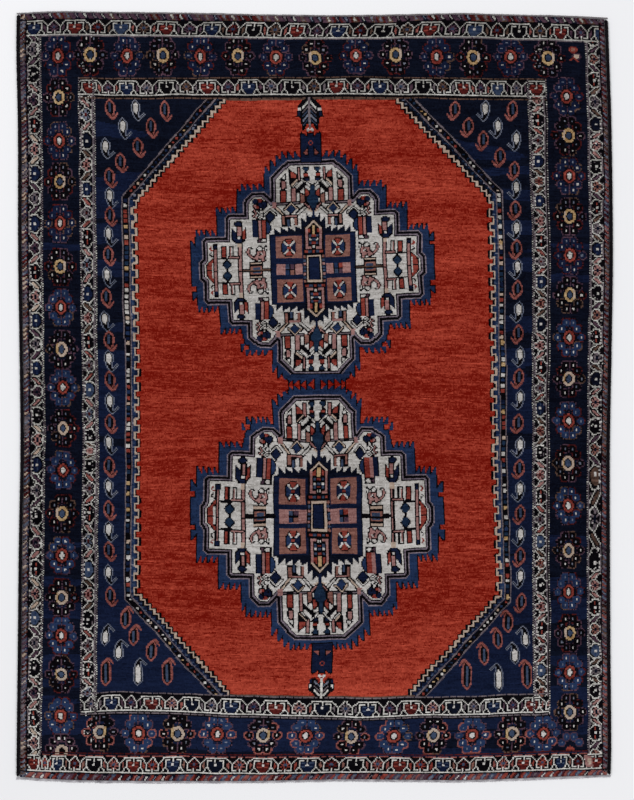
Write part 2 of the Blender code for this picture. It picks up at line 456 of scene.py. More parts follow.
SHADE = {
    "red": "red", "wine": "rust", "blue": "slate", "teal": "slate", "navy": "blue", "slate": "blue",
}

# %% [markdown]
# The hearts aren't evenly spaced, and the unit between two of them is stretched or squeezed by
# a knot or two to fit, as a weaver does it. Each stripe is woven level, in a strip of its own,
# and then laid into the plan, turned on its side for the left and right guards. The stripe at
# the far right is turned over, so that its hearts point inwards like those at the far left.

# %% The parts of a guard stripe
def half_unit(pen, unit, heart, leaf):
    """One side of a heart, as far as the middle of the rosette beside it."""
    for points in unit["pale"]:
        pen.thread(points, "grey")
    for points in unit["line"]:
        pen.thread(points, "chalk")
    pen.area(unit["heart"], unit["deep"].get(heart, heart)).area(unit["leaf"], leaf)
    for points in unit["veins"] if heart in SHADE else []:
        pen.thread(points, SHADE[heart])
    for x, y in unit["tops"]:
        pen.oval(x, y, 0.75, 0.75, "ivory")
    pen.oval(0, unit["dot"], 1.0, 0.9, "ivory")


def small_rosette(pen, unit, petal, middle):
    """Petals as short strokes around a middle, and a stem."""
    petals = 8
    y, rx, ry = unit["flower"]
    pen.oval(0, y, rx + 0.4, ry + 0.4, "black")
    for number in range(petals):
        turn = (number + 0.5) / petals * math.tau
        side, rise = math.sin(turn), math.cos(turn)
        pen.line([(0.5 * rx * side, y + 0.5 * ry * rise), (rx * side, y + ry * rise)], petal, 1.15)
    pen.oval(0, y, 1.3, 1.3, middle)
    (x, y0), (_, y1) = unit["stem"]
    pen.line([(0, y0), (0, y1)], "ivory", 1.0)


# %% Weaving one guard stripe
def guard(unit, stripe, first, last, depth, along_rows, flipped=False):
    """Weaves a stripe from its name; depth is where it starts across the stripe."""
    seen_at = [place for place, _ in hearts(stripe)]
    if along_rows:
        places = [planned(place, depth)[0] for place in seen_at]
    else:
        places = [planned(depth, place)[1] for place in seen_at]
    dyes = [dye for _, dye in hearts(stripe)]
    step = np.median(np.diff(places))
    places = [places[0] - step] + places + [places[-1] + step]
    dyes = [dyes[0]] + dyes + [dyes[-1]]
    petals, leaves, middle = FLOWERS[stripe]
    strip = np.full((unit["depth"], COLUMNS + ROWS), INDEX["black"], np.int8)
    for number, (here, there) in enumerate(zip(places, places[1:])):
        scale = (there - here) / 2 / unit["half"]
        pen = Pen((here + there) / 2, 0, scale, 1, strip)
        small_rosette(pen, unit, petals[number % len(petals)], middle)
    for number, place in enumerate(places):
        for other in (number - 1, number + 1):
            if 0 <= other < len(places):
                scale = (places[other] - place) / 2 / unit["half"]
                leaf = leaves[(number + other) % len(leaves)]
                half_unit(Pen(place, 0, scale, 1, strip), unit, dyes[number], leaf)
    strip = strip[::-1, first:last] if flipped else strip[:, first:last]
    if along_rows:
        plan[depth:depth + unit["depth"], first:last] = strip
    else:
        plan[first:last, depth:depth + unit["depth"]] = strip.T


# %% [markdown]
# The dyes of the hearts follow no rule on the rug. They are the weaver's own choice, so they
# are simply listed along each stripe, with the places where the hearts are seen. FLOWERS gives,
# for each stripe, the dyes that its petals take in turn, those of its leaves, and the rosettes'
# middle.

# %% The hearts, stripe by stripe
HEARTS = {
    "far outer": "12 teal,46 red,85 slate,123 red,162 blue,197 black,233 red,268 blue,306 black,"
    "345 red,382 slate,419 black,453 red,487 slate",
    "far inner": "58 red,89 blue,122 black,156 red,191 blue,227 black,264 red,300 blue,336 black,"
    "370 red,398 slate,431 red",
    "near inner": "76 blue,109 wine,143 night,176 blue,213 wine,252 night,290 teal,326 wine,362 night,"
    "395 blue,427 wine",
    "near outer": "12 red,30.5 blue,61.5 black,94.5 red,127.5 blue,163.5 night,203 red,240 blue,"
    "281 black,317 red,353 blue,387 black,420 red,451 blue,480 red",
    "left outer": "51 black,94 red,134 navy,176 navy,217 red,257 blue,297 navy,336 black,378 blue,"
    "421 black,465 red,506 slate,548 black,590 red",
    "left inner": "64 black,107 night,147 blue,187 red,234 navy,275 red,314 slate,355 black,376 black,"
    "417 red,464 slate,506 black,548 red",
    "right inner": "88 red,122 navy,155 navy,189 red,223 blue,259 night,295 red,330 blue,367 black,"
    "404 red,442 slate,478 black,514 red,550 slate",
    "right outer": "52 red,90 night,125 black,160 red,195 navy,232 black,269 red,305 night,344 black,"
    "385 brown,461 black,498 red,535 slate,568 black,604 red",
}
FLOWERS = {
    "far outer": (["brown", "mauve", "wine"], ["mauve", "rust", "brown"], "slate"),
    "far inner": (["brown", "mauve", "grey"], ["rust", "grey", "mauve"], "slate"),
    "near inner": (["grey", "mauve", "pink"], ["mauve", "grey", "rust"], "blue"),
    "near outer": (["rust", "red", "wine"], ["red", "rust", "salmon"], "slate"),
    "left outer": (["grey", "mauve", "pink"], ["pink", "mauve", "cream"], "night"),
    "left inner": (["grey", "sky", "pink"], ["pink", "rust", "brown"], "wine"),
    "right inner": (["pink", "grey", "salmon"], ["rust", "pink", "brown"], "wine"),
    "right outer": (["salmon", "grey", "pink"], ["brown", "mauve", "pink"], "night"),
}


def hearts(name):
    found = [entry.split() for entry in HEARTS[name].split(",")]
    return [(float(place), dye) for place, dye in found]


# %% Weaving the guards into the plan
GUARD_GROUNDS = [
    (6, 6, 485, 19), (6, 620, 485, 634), (6, 6, 18, 634), (473, 6, 485, 634),
    (49, 54, 63, 588), (427, 54, 441, 588), (49, 54, 441, 72), (49, 570, 441, 588),
]
GUARD_PLACES = {
    "left outer": (18, 622, 6), "right outer": (18, 622, 474),
    "left inner": (68, 574, 50), "right inner": (68, 574, 428),
    "far outer": (6, 485, 6), "near outer": (6, 485, 621),
    "far inner": (50, 440, 56), "near inner": (50, 440, 572),
}
for guard_box in GUARD_GROUNDS:
    ground.box(*guard_box, "black")
for stripe, (first, last, depth) in GUARD_PLACES.items():
    along_rows = stripe.startswith(("far", "near"))
    unit = END_UNIT if along_rows else SIDE_UNIT
    guard(unit, stripe, first, last, depth, along_rows, flipped=stripe == "right outer")
print(len(HEARTS), "guard stripes,", sum(len(hearts(name)) for name in HEARTS), "hearts")

# %% [markdown]
# ## Barber-pole edges and the thin lines
#
# The outermost stripe has short slanted bars in mauve, red and dark wool. Each guard is shut in
# by thin lines of a single pale knot, broken here and there, which look dashed from a step away.

# %% Thin lines, dots and slanted bars
def dashed(points, dye, on, off, seed):
    """A one-knot line along columns or rows with a dark knot now and then."""
    (c0, r0), (c1, r1) = points
    dice = np.random.default_rng(seed)
    count = int(max(abs(c1 - c0), abs(r1 - r0)))
    left = 0
    for k in range(count):
        c = int(c0 + (c1 - c0) * k / count)
        r = int(r0 + (r1 - r0) * k / count)
        if left <= -off:
            left = int(dice.integers(max(on - 3, 1), on + 3))
        if left > 0:
            plan[r, c] = INDEX[dye]
        left -= 1


def dotted(column, first, last, seed):
    """A line of single pale knots down a side guard, with dark ones between them."""
    dice = np.random.default_rng(50 + seed)
    for row in range(first + seed % 2, last, 2):
        plan[row, column] = INDEX["chalk" if dice.random() < 0.4 else "grey"]
        plan[row + 1, column] = INDEX["black"]


def barber(first, last, depth, deep, along_rows, slant, step, grounds, patches, flecks):
    """Slanted bars, each with a darker patch across it and a short pale fleck in the patch."""
    dice = np.random.default_rng(depth + deep + first)
    count = int(last / step) + 8
    bars = [
        [group[n] for n in dice.integers(0, len(group), count)] for group in (grounds, patches, flecks)
    ]
    for k in range(first, last):
        for j in range(deep):
            bar, inside = divmod(k + slant * (j - deep / 2) + 4 * step, step)
            off = abs(inside - step / 2)
            layer = 2 if off < 0.7 and abs(j + 0.5 - deep / 2) < 1.6 else 1 if off < step * 0.25 else 0
            r, c = (depth + j, k) if along_rows else (k, depth + j)
            plan[r, c] = INDEX[bars[layer][int(bar) % count]]


# %% The edge stripes and the thin lines laid in
FAR_BARS = (["mauve", "mauve", "mauve", "wine"], ["night", "black", "brown"], ["sky", "grey", "chalk"])
NEAR_BARS = (["red", "mauve", "wine", "rust"], ["mauve", "slate", "night"], ["sky", "grey", "chalk"])
LEFT_BARS = (["mauve", "brown", "grey", "wine"], ["navy", "black", "slate"], ["grey", "cream", "sky"])
RIGHT_BARS = (["mauve", "brown", "rust", "wine"], ["night", "black", "slate"], ["sky", "grey", "grey"])
barber(0, COLUMNS, 0, 5, True, -0.8, 7.3, *FAR_BARS)
barber(0, COLUMNS, 635, 5, True, 0.8, 7.2, *NEAR_BARS)
barber(0, ROWS, 0, 5, False, 0.8, 3.9, *LEFT_BARS)
barber(0, ROWS, 486, 4, False, -0.8, 4.4, *RIGHT_BARS)
ground.box(0, 5, 490, 6, "black").box(0, 634, 490, 635, "black")
ground.box(5, 5, 6, 635, "black").box(485, 5, 486, 635, "black")
dashed([(17, 19), (473, 19)], "grey", 30, 1, 5)
dashed([(17, 618), (473, 618)], "wine", 9, 1, 6)
dashed([(17, 620), (473, 620)], "rust", 7, 2, 9)
for number, column in enumerate([16, 17, 49, 61, 62, 426, 427, 440, 473]):
    first, last = (19, 619) if column in (16, 17, 473) else (54, 587)
    dotted(column, first, last, number)
for number, depth in enumerate([54, 71, 569, 586]):
    dashed([(49, depth), (441, depth)], ("brown", "grey")[number // 2], 7, 1, 20 + number)
ground.area([(470, 622), (476, 623), (478, 632), (472, 632)], "pink")
ground.area([(473, 625), (476, 625), (476, 630), (474, 630)], "cream")

# %% Single flecks of wear on the side guards
GREY_FLECKS = 0.07
CHALK_FLECKS = 0.025
flecked = np.random.default_rng(78).random(plan.shape)
for columns in (slice(6, 17), slice(50, 61), slice(428, 439), slice(474, 485)):
    strip, chances = plan[20:620, columns], flecked[20:620, columns]
    dark = strip == INDEX["black"]
    strip[dark & (chances < GREY_FLECKS)] = INDEX["grey"]
    strip[dark & (chances < CHALK_FLECKS)] = INDEX["chalk"]
print("edge stripes, thin lines and flecks are in")

# %% [markdown]
# ## The red field and its frame
#
# Inside the borders lies a red field with its corners cut off, so that it has eight sides.
# Around it goes a cream line that turns back and forth like a battlement along the sides and
# climbs in steps along the slants, with a blue strip behind it. Outside that runs a row of
# coloured beads between two thin lines, and then the dark blue corners and side panels.

# %% The two halves of the frame, from the far end to the near one, as they are seen
FRAME = {
    "left": [(170, 69), (94, 156), (96, 484.5), (173.5, 569)],
    "right": [(314.5, 69), (391, 151), (400, 487), (325.5, 569.5)],
}


def halfway(points, spacing=3.0):
    """The same line with a place every few knots, each put where it goes in the plan."""
    places = [planned(*points[0])]
    for (x0, y0), (x1, y1) in zip(points[:-1], points[1:]):
        count = max(int(math.hypot(x1 - x0, y1 - y0) / spacing), 1)
        for k in range(1, count + 1):
            places.append(planned(x0 + (x1 - x0) * k / count, y0 + (y1 - y0) * k / count))
    return places


STEP_RISE = 4.1
BATTLEMENT_PITCH = 11.7


def steps(start, end):
    """Square steps from one point to another."""
    (x0, y0), (x1, y1) = start, end
    count = int(round(abs(y1 - y0) / STEP_RISE))
    points = [(x0, y0)]
    for k in range(count):
        y = y0 + (y1 - y0) * (k + 1) / count
        points.append((points[-1][0], y))
        points.append((x0 + (x1 - x0) * (k + 1) / count, y))
    return points


def battlement(start, end, depth):
    """A line that turns out and back again along a side."""
    (x0, y0), (x1, y1) = start, end
    count = int(round((y1 - y0) / BATTLEMENT_PITCH))
    points = []
    for k in range(count):
        for share, out in ((0.0, -0.5), (0.5, -0.5), (0.5, 0.5), (0.98, 0.5)):
            along = (k + share) / count
            points.append((x0 + (x1 - x0) * along + depth * out, y0 + (y1 - y0) * along))
    return points + [(x1 - depth / 2, y1)]


# %% The frame's line moved sideways, and the ground it lies on
def beside(side, away):
    """The line of a half, moved outwards by so many knots, and its ends drawn out a little."""
    points = FRAME[side]
    turn = 1 if side == "left" else -1
    moved = []
    for before, here, after in zip([points[0]] + points, points, points[1:] + [points[-1]]):
        across, along, count = 0.0, 0.0, 0
        for (xa, ya), (xb, yb) in ((before, here), (here, after)):
            length = math.hypot(xb - xa, yb - ya)
            if length:
                across -= turn * (yb - ya) / length
                along += turn * (xb - xa) / length
                count += 1
        across, along = across / count, along / count
        scale = away / (across ** 2 + along ** 2)
        moved.append((here[0] + across * scale, here[1] + along * scale))
    for end, inside in ((0, 1), (3, 2)):
        (x0, y0), (x1, y1) = moved[end], moved[inside]
        share = 12 / math.hypot(x1 - x0, y1 - y0)
        moved[end] = (x0 - (x1 - x0) * share, y0 - (y1 - y0) * share)
    return moved


FIELD = (63, 72, 426, 569)
panels = np.zeros((ROWS, COLUMNS), bool)
panels[FIELD[1]:FIELD[3], FIELD[0]:FIELD[2]] = True
outside = plan.copy()
ground.box(*FIELD, "navy")
night = wander(12, 50, 4)
plan[panels & (night + (0.45 - row_share) * 1.2 > 0.1)] = INDEX["night"]

# %% [markdown]
# The lines that follow the frame are laid one over the other: a black band, the blue strip
# beside it, two thin pale lines with the beads between them, and at last the red field with its
# black and cream lines. The beads are square along the sides, where they follow the knots, and
# mere dots along the slants.

# %% The frame's lines and its row of beads
BEADS = ["ivory", "navy", "red", "black", "teal", "ivory", "blue", "cream", "navy", "red", "ivory",
         "teal", "straw"]


def beads(points, spacing, wide, tall, seed):
    """Small blocks of colour along a line, with dark between them."""
    dice = np.random.default_rng(seed)
    (x0, y0), (x1, y1) = points
    count = int(math.hypot(x1 - x0, y1 - y0) / spacing)
    for k in range(count):
        share = (k + 0.5 + dice.uniform(-0.1, 0.1)) / count
        x, y = planned(x0 + (x1 - x0) * share, y0 + (y1 - y0) * share)
        dye = BEADS[dice.integers(len(BEADS))]
        ground.oval(x, y, wide, tall * dice.uniform(0.8, 1.15), dye, 4)


def parts(line):
    """The far slant, the side and the near slant of a half."""
    return list(zip(line[:-1], line[1:]))


for number, side in enumerate(FRAME):
    ground.line(halfway(beside(side, 7.0)), "black", 6.4)
    for (start, end), dye, fleck, wide in zip(
        parts(beside(side, 2.6)), ("night", "blue", "navy"), ("teal", "slate", "slate"), (5, 4, 5)
    ):
        ground.line(halfway([start, end]), dye, wide)
        dice = np.random.default_rng(70 + number)
        for x, y in halfway([start, end], 4.1):
            x, y = x + dice.normal(0, 0.6), y + dice.normal(0, 0.6)
            ground.oval(x, y, 1.1, 0.8, fleck if dice.random() < 0.8 else "sky")
    for away in (4.3, 9.7):
        ground.line(halfway(beside(side, away)), "grey", 1.0)
    far, straight, near = parts(beside(side, 7.0))
    beads(far, 4.4, 1.0, 0.9, 40 + number)
    beads(straight, 4.4, 1.5, 1.6, 42 + number)
    beads(near, 4.4, 1.0, 0.9, 44 + number)

# %% The red field and the cream line round it
cream_lines = {}
for side, (far_end, far_corner, near_corner, near_end) in FRAME.items():
    depth = -3.2 if side == "left" else 3.2
    cream_lines[side] = [
        halfway(steps(far_end, far_corner)),
        halfway(battlement(far_corner, near_corner, depth)),
        halfway(steps(near_end, near_corner)),
    ]
left, right = cream_lines["left"], cream_lines["right"]
ground.area(
    left[0] + left[1] + left[2][::-1] + right[2] + right[1][::-1] + right[0][::-1], "madder"
)
for side, inwards in (("left", 1), ("right", -1)):
    far, straight, near = cream_lines[side]
    for line, down in ((far, 1), (near, -1)):
        ground.line([(x - inwards * 1.5, y - down * 0.8) for x, y in line], "black", 1.4)
        ground.line([(x + inwards * 1.4, y + down * 0.8) for x, y in line], "black", 1.5)
    ground.line([(x + inwards * 1.3, y) for x, y in straight], "black", 1.5)
    for line in (far, straight, near):
        ground.line(line, "cream", 1.3)
plan[~panels] = outside[~panels]
ground.line([(175, 72.5), (316, 72.5)], "brown", 1.0).line([(173, 568.5), (325, 568.5)], "brown", 1.0)
print("red field", int((plan == INDEX["madder"]).sum()), "knots")

# %% [markdown]
# ## Drops in the corners and along the sides
#
# The corners and the two side panels are strewn with drop-shaped leaves whose tip is bent back
# into a hook. There are two kinds, which take turns: one has a thick rust outline around a
# slate bar, and the other a fine pale outline around an ivory bar. The charts give one drop of
# each kind. A taller one repeats its middle line, and a shorter one leaves it out.

# %% The charts of the two drops
RUST_DROP = [
    "....rr......",
    "...rrrr.....",
    "..rrkkrr....",
    "..rkbbkrr...",
    ".rrkbbkkr...",
    ".rkkbbkkrr..",
    ".rkkbbkkrr..",
    ".rkkbbkkrr..",
    ".rkkbbkkrr..",
    ".rrkbbkkrr..",
    ".rrkbbkkr...",
    "..rrkkkkr..r",
    "..rrrkkrr.rr",
    "...rrrkrkrr.",
    "....rrrkrrr.",
    ".....rrrrr..",
    "......rrr...",
]
PALE_DROP = [
    ".....p........",
    "....pkp.......",
    "...pkkkp......",
    "...pkiikp.....",
    "..pkiiiikp....",
    "..pkiiiikp....",
    "..pkiiiikp....",
    "..pkiiiikp....",
    "..pkiiiikp....",
    "..pkiiiikp....",
    "..pkiiiikp....",
    "...pkiikp.....",
    "...pkkikp...p.",
    "...pkkkkp..pkp",
    "....pkkkp.pkp.",
    "....pkkkppkp..",
    ".....pkkkkp...",
    "......pkkp....",
    ".......pp.....",
]
DROP_DYES = {"r": "rust", "b": "slate", "p": "sky", "i": "ivory", "k": "black"}
MIDDLE_LINE = 6

# %% A drop of either kind
def drop(kind, column, row, side, height, upside):
    """side is 1 where the hook points right and -1 where it points left."""
    rows = list({"r": RUST_DROP, "w": PALE_DROP}[kind])
    while len(rows) < height:
        rows.insert(MIDDLE_LINE, rows[MIDDLE_LINE])
    while len(rows) > height:
        rows.pop(MIDDLE_LINE)
    c, r = planned(column + side, row)
    Pen(c, r, side, -1 if upside else 1).chart(rows, 0, 0, DROP_DYES)


# %% The drops, with their kind and where they are seen
FAR_LEFT_DROPS = [
    ("r", 74, 81), ("w", 96, 81), ("r", 119, 81), ("w", 85, 96), ("r", 108, 95.5), ("w", 70.5, 113),
    ("r", 97, 111.5), ("r", 82.5, 125), ("r", 73.5, 138), ("w", 73.5, 154),
]
LEFT_DROPS = [
    ("r", 74, 170), ("w", 72.5, 186), ("r", 72, 203), ("w", 71, 220), ("r", 70, 238), ("w", 69, 257),
    ("r", 72, 274), ("w", 72, 290), ("r", 72, 307), ("w", 72.5, 325), ("r", 72.5, 343),
    ("w", 71.5, 360), ("r", 71.5, 378), ("w", 72, 396), ("r", 72, 414), ("w", 72.5, 432),
    ("r", 72.5, 449), ("w", 73, 468), ("r", 73.5, 487),
]
NEAR_LEFT_DROPS = [
    ("r", 87, 503), ("w", 71, 518), ("r", 94, 518), ("w", 81.5, 531), ("r", 109, 531),
    ("r", 71, 549), ("w", 97.5, 549), ("r", 122.5, 549),
]
FAR_RIGHT_DROPS = [
    ("r", 362.5, 80), ("w", 388, 80), ("r", 411, 80), ("r", 373.5, 94), ("w", 398, 94),
    ("r", 386, 106), ("w", 413, 105), ("r", 400, 119), ("r", 412, 130), ("w", 412.5, 146),
]
RIGHT_DROPS = [
    ("r", 412.5, 163), ("w", 412.5, 180), ("r", 413, 196), ("w", 413.5, 213), ("r", 414, 230),
    ("w", 415, 249), ("r", 415.5, 267), ("w", 416, 286), ("r", 416, 304), ("w", 416.5, 322),
    ("r", 416, 343), ("w", 417, 362), ("r", 417.5, 381), ("w", 418, 399), ("r", 418, 418),
    ("w", 417.5, 437), ("r", 418, 455), ("w", 418, 472), ("r", 418.5, 492),
]
NEAR_RIGHT_DROPS = [
    ("r", 408, 508), ("r", 399, 521), ("w", 422, 522), ("r", 387, 535), ("w", 413, 535),
    ("r", 372.5, 552), ("w", 399, 555), ("r", 422.5, 553),
]
DROPS = [
    (FAR_LEFT_DROPS, 1, False), (LEFT_DROPS, 1, False), (NEAR_LEFT_DROPS, 1, True),
    (FAR_RIGHT_DROPS, -1, False), (RIGHT_DROPS, -1, False), (NEAR_RIGHT_DROPS, -1, True),
]
for group, side, near in DROPS:
    for kind, column, row in group:
        height = (19 if row < 540 else 25) if near else (17 if kind == "r" else 18)
        drop(kind, column, row, side, height, near)
print(sum(len(group) for group, side, near in DROPS), "drops")

# %% [markdown]
# ## The two medallions
#
# Each medallion is an ivory stepped shape with a wing at either side and a house above and
# below, set in bands: black, a thin lilac line, black again, another lilac line, and then a
# broad blue edge with saw teeth. It is the same in all four quarters, so it is drawn once and
# mirrored. Only the dome that faces the waist of the rug is pinched a little. The nearer
# medallion was woven with a slacker hand, and is a little wider and taller.

# %% The quarter outlines, from the middle outwards
IVORY_QUARTER = [
    (0, 0), (0, 86), (18.4, 86), (29.8, 75), (29.8, 57), (34.2, 53.4), (38, 57), (41.6, 60.2),
    (47.6, 60.2), (52, 55.4), (52, 42), (68.4, 42), (68.4, 23.8), (87.2, 23.8), (87.2, 8), (90, 4.5),
    (90, 0),
]
BLUE_QUARTER = [
    (0, 0), (0, 92.4), (24.6, 92.4), (24.6, 89.8), (29.4, 89.8), (29.4, 85.4), (34.0, 85.4),
    (34.0, 80.6), (38.6, 80.6), (38.6, 66.8), (58.6, 66.8), (58.6, 62.2), (62, 62.2), (62, 47.4),
    (79.4, 47.4), (79.4, 28.4), (96.6, 28.4), (96.6, 0),
]
LEVELS = [
    (8.4, 24.8, 92.4), (24.6, 29.6, 89.8), (29.4, 34.2, 85.4), (34.0, 38.9, 80.6), (38.6, 58.8, 66.8),
    (58.8, 62.2, 62.2), (62.2, 79.6, 47.4), (79.6, 96.8, 28.4),
]
WAIST_PINCH = 0.94
DOME_GROUND = 56
DOME_TEETH = 67

# %% Masks, rings of knots and the four quarters
def grow(mask, knots):
    """The mask with so many rings of knots round it. Every second ring also fills the corners."""
    for ring in range(knots):
        wider = mask.copy()
        wider[1:] |= mask[:-1]
        wider[:-1] |= mask[1:]
        wider[:, 1:] |= mask[:, :-1]
        wider[:, :-1] |= mask[:, 1:]
        if ring % 2:
            wider[1:, 1:] |= mask[:-1, :-1]
            wider[:-1, :-1] |= mask[1:, 1:]
            wider[1:, :-1] |= mask[:-1, 1:]
            wider[:-1, 1:] |= mask[1:, :-1]
        mask = wider
    return mask


def quarters(pen):
    """The four pens of a medallion: right and left, near and far."""
    for sx in (1, -1):
        for sy in (1, -1):
            yield Pen(pen.column, pen.row, pen.wide * sx, pen.tall * sy)


def pinch(quarter, waist):
    """The width of a quarter's dome: narrower where it faces the waist of the rug."""
    return WAIST_PINCH if quarter.tall * waist > 0 else 1.0


def shape(pen, outline, waist):
    """The knots inside an outline in all four quarters."""
    keep = plan.copy()
    plan[:] = 0
    for quarter in quarters(pen):
        dome = pinch(quarter, waist)
        quarter.area([(x * dome if y > DOME_GROUND else x, y) for x, y in outline], "navy")
    mask = plan == INDEX["navy"]
    plan[:] = keep
    return mask


# %% Saw teeth
TOOTH_PITCH = 4.7
TOOTH_HEIGHT = 4.6


def teeth(pen, x0, x1, y):
    """Saw teeth along a level edge, upright on the outer side, pointing to larger y."""
    count = max(int(round(abs(x1 - x0) * abs(pen.wide) / TOOTH_PITCH)), 1)
    step = (x1 - x0) / count
    for k in range(count):
        tip = x0 + step * (k + 1)
        pen.area([(tip - step, y - 0.6), (tip + 0.4, y - 0.6), (tip + 0.4, y + TOOTH_HEIGHT + 1.3),
                  (tip - 1.2, y + TOOTH_HEIGHT + 1.3)], "black")
    for k in range(count):
        tip = x0 + step * (k + 1)
        pen.area([(tip - step, y - 0.6), (tip, y - 0.6), (tip, y + TOOTH_HEIGHT + 0.6),
                  (tip - 0.9, y + TOOTH_HEIGHT + 0.6)], "blue")


# %% The grounds and bands of the medallions
MEDALLIONS = [Pen(246, 211.5, 1.0, 1.0), Pen(246.3, 419, 1.05, 1.13)]
TO_WAIST = (1, -1)
FAR_EARS = [
    (-1, -24.4, 23.4, [(13, 17)]),
    (1, -26.4, 23.5, [(-19.5, -17.5), (14, 18)]),
]
NEAR_EARS = [
    (-1, -23.7, 16.4, [(-16.4, -13.3), (7.1, 9.8)]),
    (1, -22.6, 17.3, [(-15.5, -13), (7.5, 10.2)]),
]


def ear(pen, far, near, notches):
    """The narrow last step at the side, with a tooth at each end and red notches in its face."""
    pen.area([(95, far + 4.2), (96.6, far + 3.8), (100, far - 1), (102.2, far - 1), (102.2, near + 1),
              (100, near + 1), (96.6, near - 3.4), (95, near - 3.6)], "black")
    pen.area([(95, far + 5.2), (96.8, far + 4.6), (100.6, far), (101.3, far), (101.3, near),
              (100.6, near), (96.8, near - 4.2), (95, near - 4.6)], "blue")
    for y0, y1 in notches:
        pen.box(97.4, y0 - 0.8, 102.2, y1 + 0.8, "black").box(98.4, y0, 102.4, y1, "madder")


def medallion_ground(pen, ears, waist):
    """The toothed blue edge, the thin lines and the ivory."""
    blue = shape(pen, BLUE_QUARTER, waist)
    plan[grow(blue, 1)] = INDEX["black"]
    for quarter in quarters(pen):
        for x0, x1, y in LEVELS:
            dome = pinch(quarter, waist) if y > DOME_TEETH else 1.0
            teeth(quarter, x0 * dome, x1 * dome, y)
    for side, far, near, notches in ears:
        ear(Pen(pen.column, pen.row, pen.wide * side, pen.tall), far, near, notches)
    plan[blue] = INDEX["blue"]
    ivory = shape(pen, IVORY_QUARTER, waist)
    for knots, dye in ((5, "lilac"), (4, "black"), (2, "lilac"), (1, "black")):
        plan[grow(ivory, knots)] = INDEX[dye]
    plan[ivory] = INDEX["ivory"]


for pen, ears, waist in zip(MEDALLIONS, (FAR_EARS, NEAR_EARS), TO_WAIST):
    medallion_ground(pen, ears, waist)
print("ivory", int((plan == INDEX["ivory"]).sum()), "knots")

# %% [markdown]
# ## Between the medallions, and the two pendants
#
# Where the medallions meet, the blue edges run into one another and a row of small red
# triangles points away from the middle on either side. Above and below, a dark blue block with
# two rust darts joins the medallion to a dark leaf with pale ribs.

# %% The waist
ground.box(222.4, 300.5, 270.8, 316.5, "blue")
for sx in (-1, 1):
    waist = Pen(246.6, 308.3, sx, 1)
    for x in (3.2, 9.4, 15.0, 20.6):
        waist.area([(x - 1.2, -5), (x - 1.2, 5), (x + 5.4, 0)], "black")
        waist.area([(x - 0.2, -4), (x - 0.2, 4), (x + 4.4, 0)], "madder")
    waist.area([(23.6, -4.4), (23.6, 4.4), (27, 6), (27, -6)], "black")
    waist.area([(24.6, -3.4), (24.6, 3.4), (29.5, 6.4), (29.5, -6)], "madder")

# %% The pendants
def pendant(pen, block, leaf, ribs, dot):
    """A leaf on a block, drawn outwards from the medallion, one half and then its mirror."""
    pen.box(-9.2, -6.4, 9.2, block, "black").box(-8.4, -6.4, 8.4, block - 0.8, "navy")
    tip = leaf[0][1]
    for sx in (-1, 1):
        half = Pen(pen.column, pen.row, pen.wide * sx, pen.tall)
        half.area([(2.0, -1.6), (7.8, 0.8), (2.2, 6.0)], "black")
        half.area([(2.6, -0.2), (6.6, 1), (2.8, 4.8)], "rust")
        half.line([(0, block - 9.8), (1.9, block - 8), (0, block - 6.2)], "red", 0.9)
        half.area([(8.2, block + 0.6), (2.2, block - 3.4), (2.2, block + 0.6)], "black")
        half.area([(7.6, block + 1.2), (3.0, block - 2.2), (2.8, block + 1.2)], "madder")
        half.area(leaf, "black")
        for away, dye, thick in ribs:
            half.line([(1.6, tip - away), (5.9, tip - away - 4.2)], dye, thick)
        half.oval(dot[0], dot[1], 1.3, 1.5, "ivory").box(8.2, dot[1] - 4.6, 10.4, dot[1] - 2.2, "navy")
        half.oval(1.6, block + 2.4, 1.3, 1.4, "ivory")
    pen.line([(0, block + 4), (0, tip - 1.6)], "grey" if tip > 43 else "chalk", 1.0)


FAR_LEAF = [(0.2, 47), (1.6, 46.2), (7.6, 40.6), (9.4, 39.2), (11.4, 32), (11.6, 29.8), (7.6, 29.4),
            (7.4, 19.4), (4.8, 19.2), (2.2, 24.4), (0.2, 24.4)]
NEAR_LEAF = [(0.2, 41.2), (1.8, 40.4), (8.8, 34.4), (11.2, 33.6), (11.4, 28), (8.8, 26.6),
             (8.8, 23.2), (6.2, 23), (2.2, 27.4), (0.2, 27.4)]
FAR_RIBS = [(6.0, "chalk", 1.2), (9.4, "grey", 0.8), (12.6, "slate", 0.9), (16.0, "sky", 1.2),
            (19.4, "slate", 0.9)]
NEAR_RIBS = [(3.8, "chalk", 1.2), (7.4, "grey", 0.9), (11.2, "sky", 1.2), (14.4, "wine", 0.9)]
pendant(Pen(246, 116, 1, -1), 17, FAR_LEAF, FAR_RIBS, (8.6, 36))
pendant(Pen(247, 530.5, 1, 1), 19.5, NEAR_LEAF, NEAR_RIBS, (9.2, 29.6))

# %% [markdown]
# ## What fills a medallion
#
# The ivory ground is packed with small outlined things: bars, lamps, vases, little animals and
# flower heads. Each has a black outline of about one knot, so the helper below lays the outline
# first and the dye on top. Every measure is in knots from the medallion's middle, outwards.

# %% Outlined shapes
def edged(pen, points, dye, thick):
    """A filled outline with about one black knot all round it."""
    pen.line(list(points) + [points[0]], "black", thick)
    return pen.area(points, dye)


def bar(pen, x0, y0, x1, y1, dye):
    """A box with an outline of a knot."""
    edge = 1.1
    pen.box(x0 - edge, y0 - edge, x1 + edge, y1 + edge, "black")
    return pen.box(x0, y0, x1, y1, dye)


def striped(pen, points, inner, thick=3.4):
    """A coloured line between two black ones."""
    return pen.line(points, "black", thick).line(points, inner, max(thick - 2.1, 0.9))


# %% [markdown]
# The middle of a medallion is a dark block, four salmon panels with a crossed octagon in each,
# and a column down the axis: a pointed niche, a framed dark blue bar and another niche.

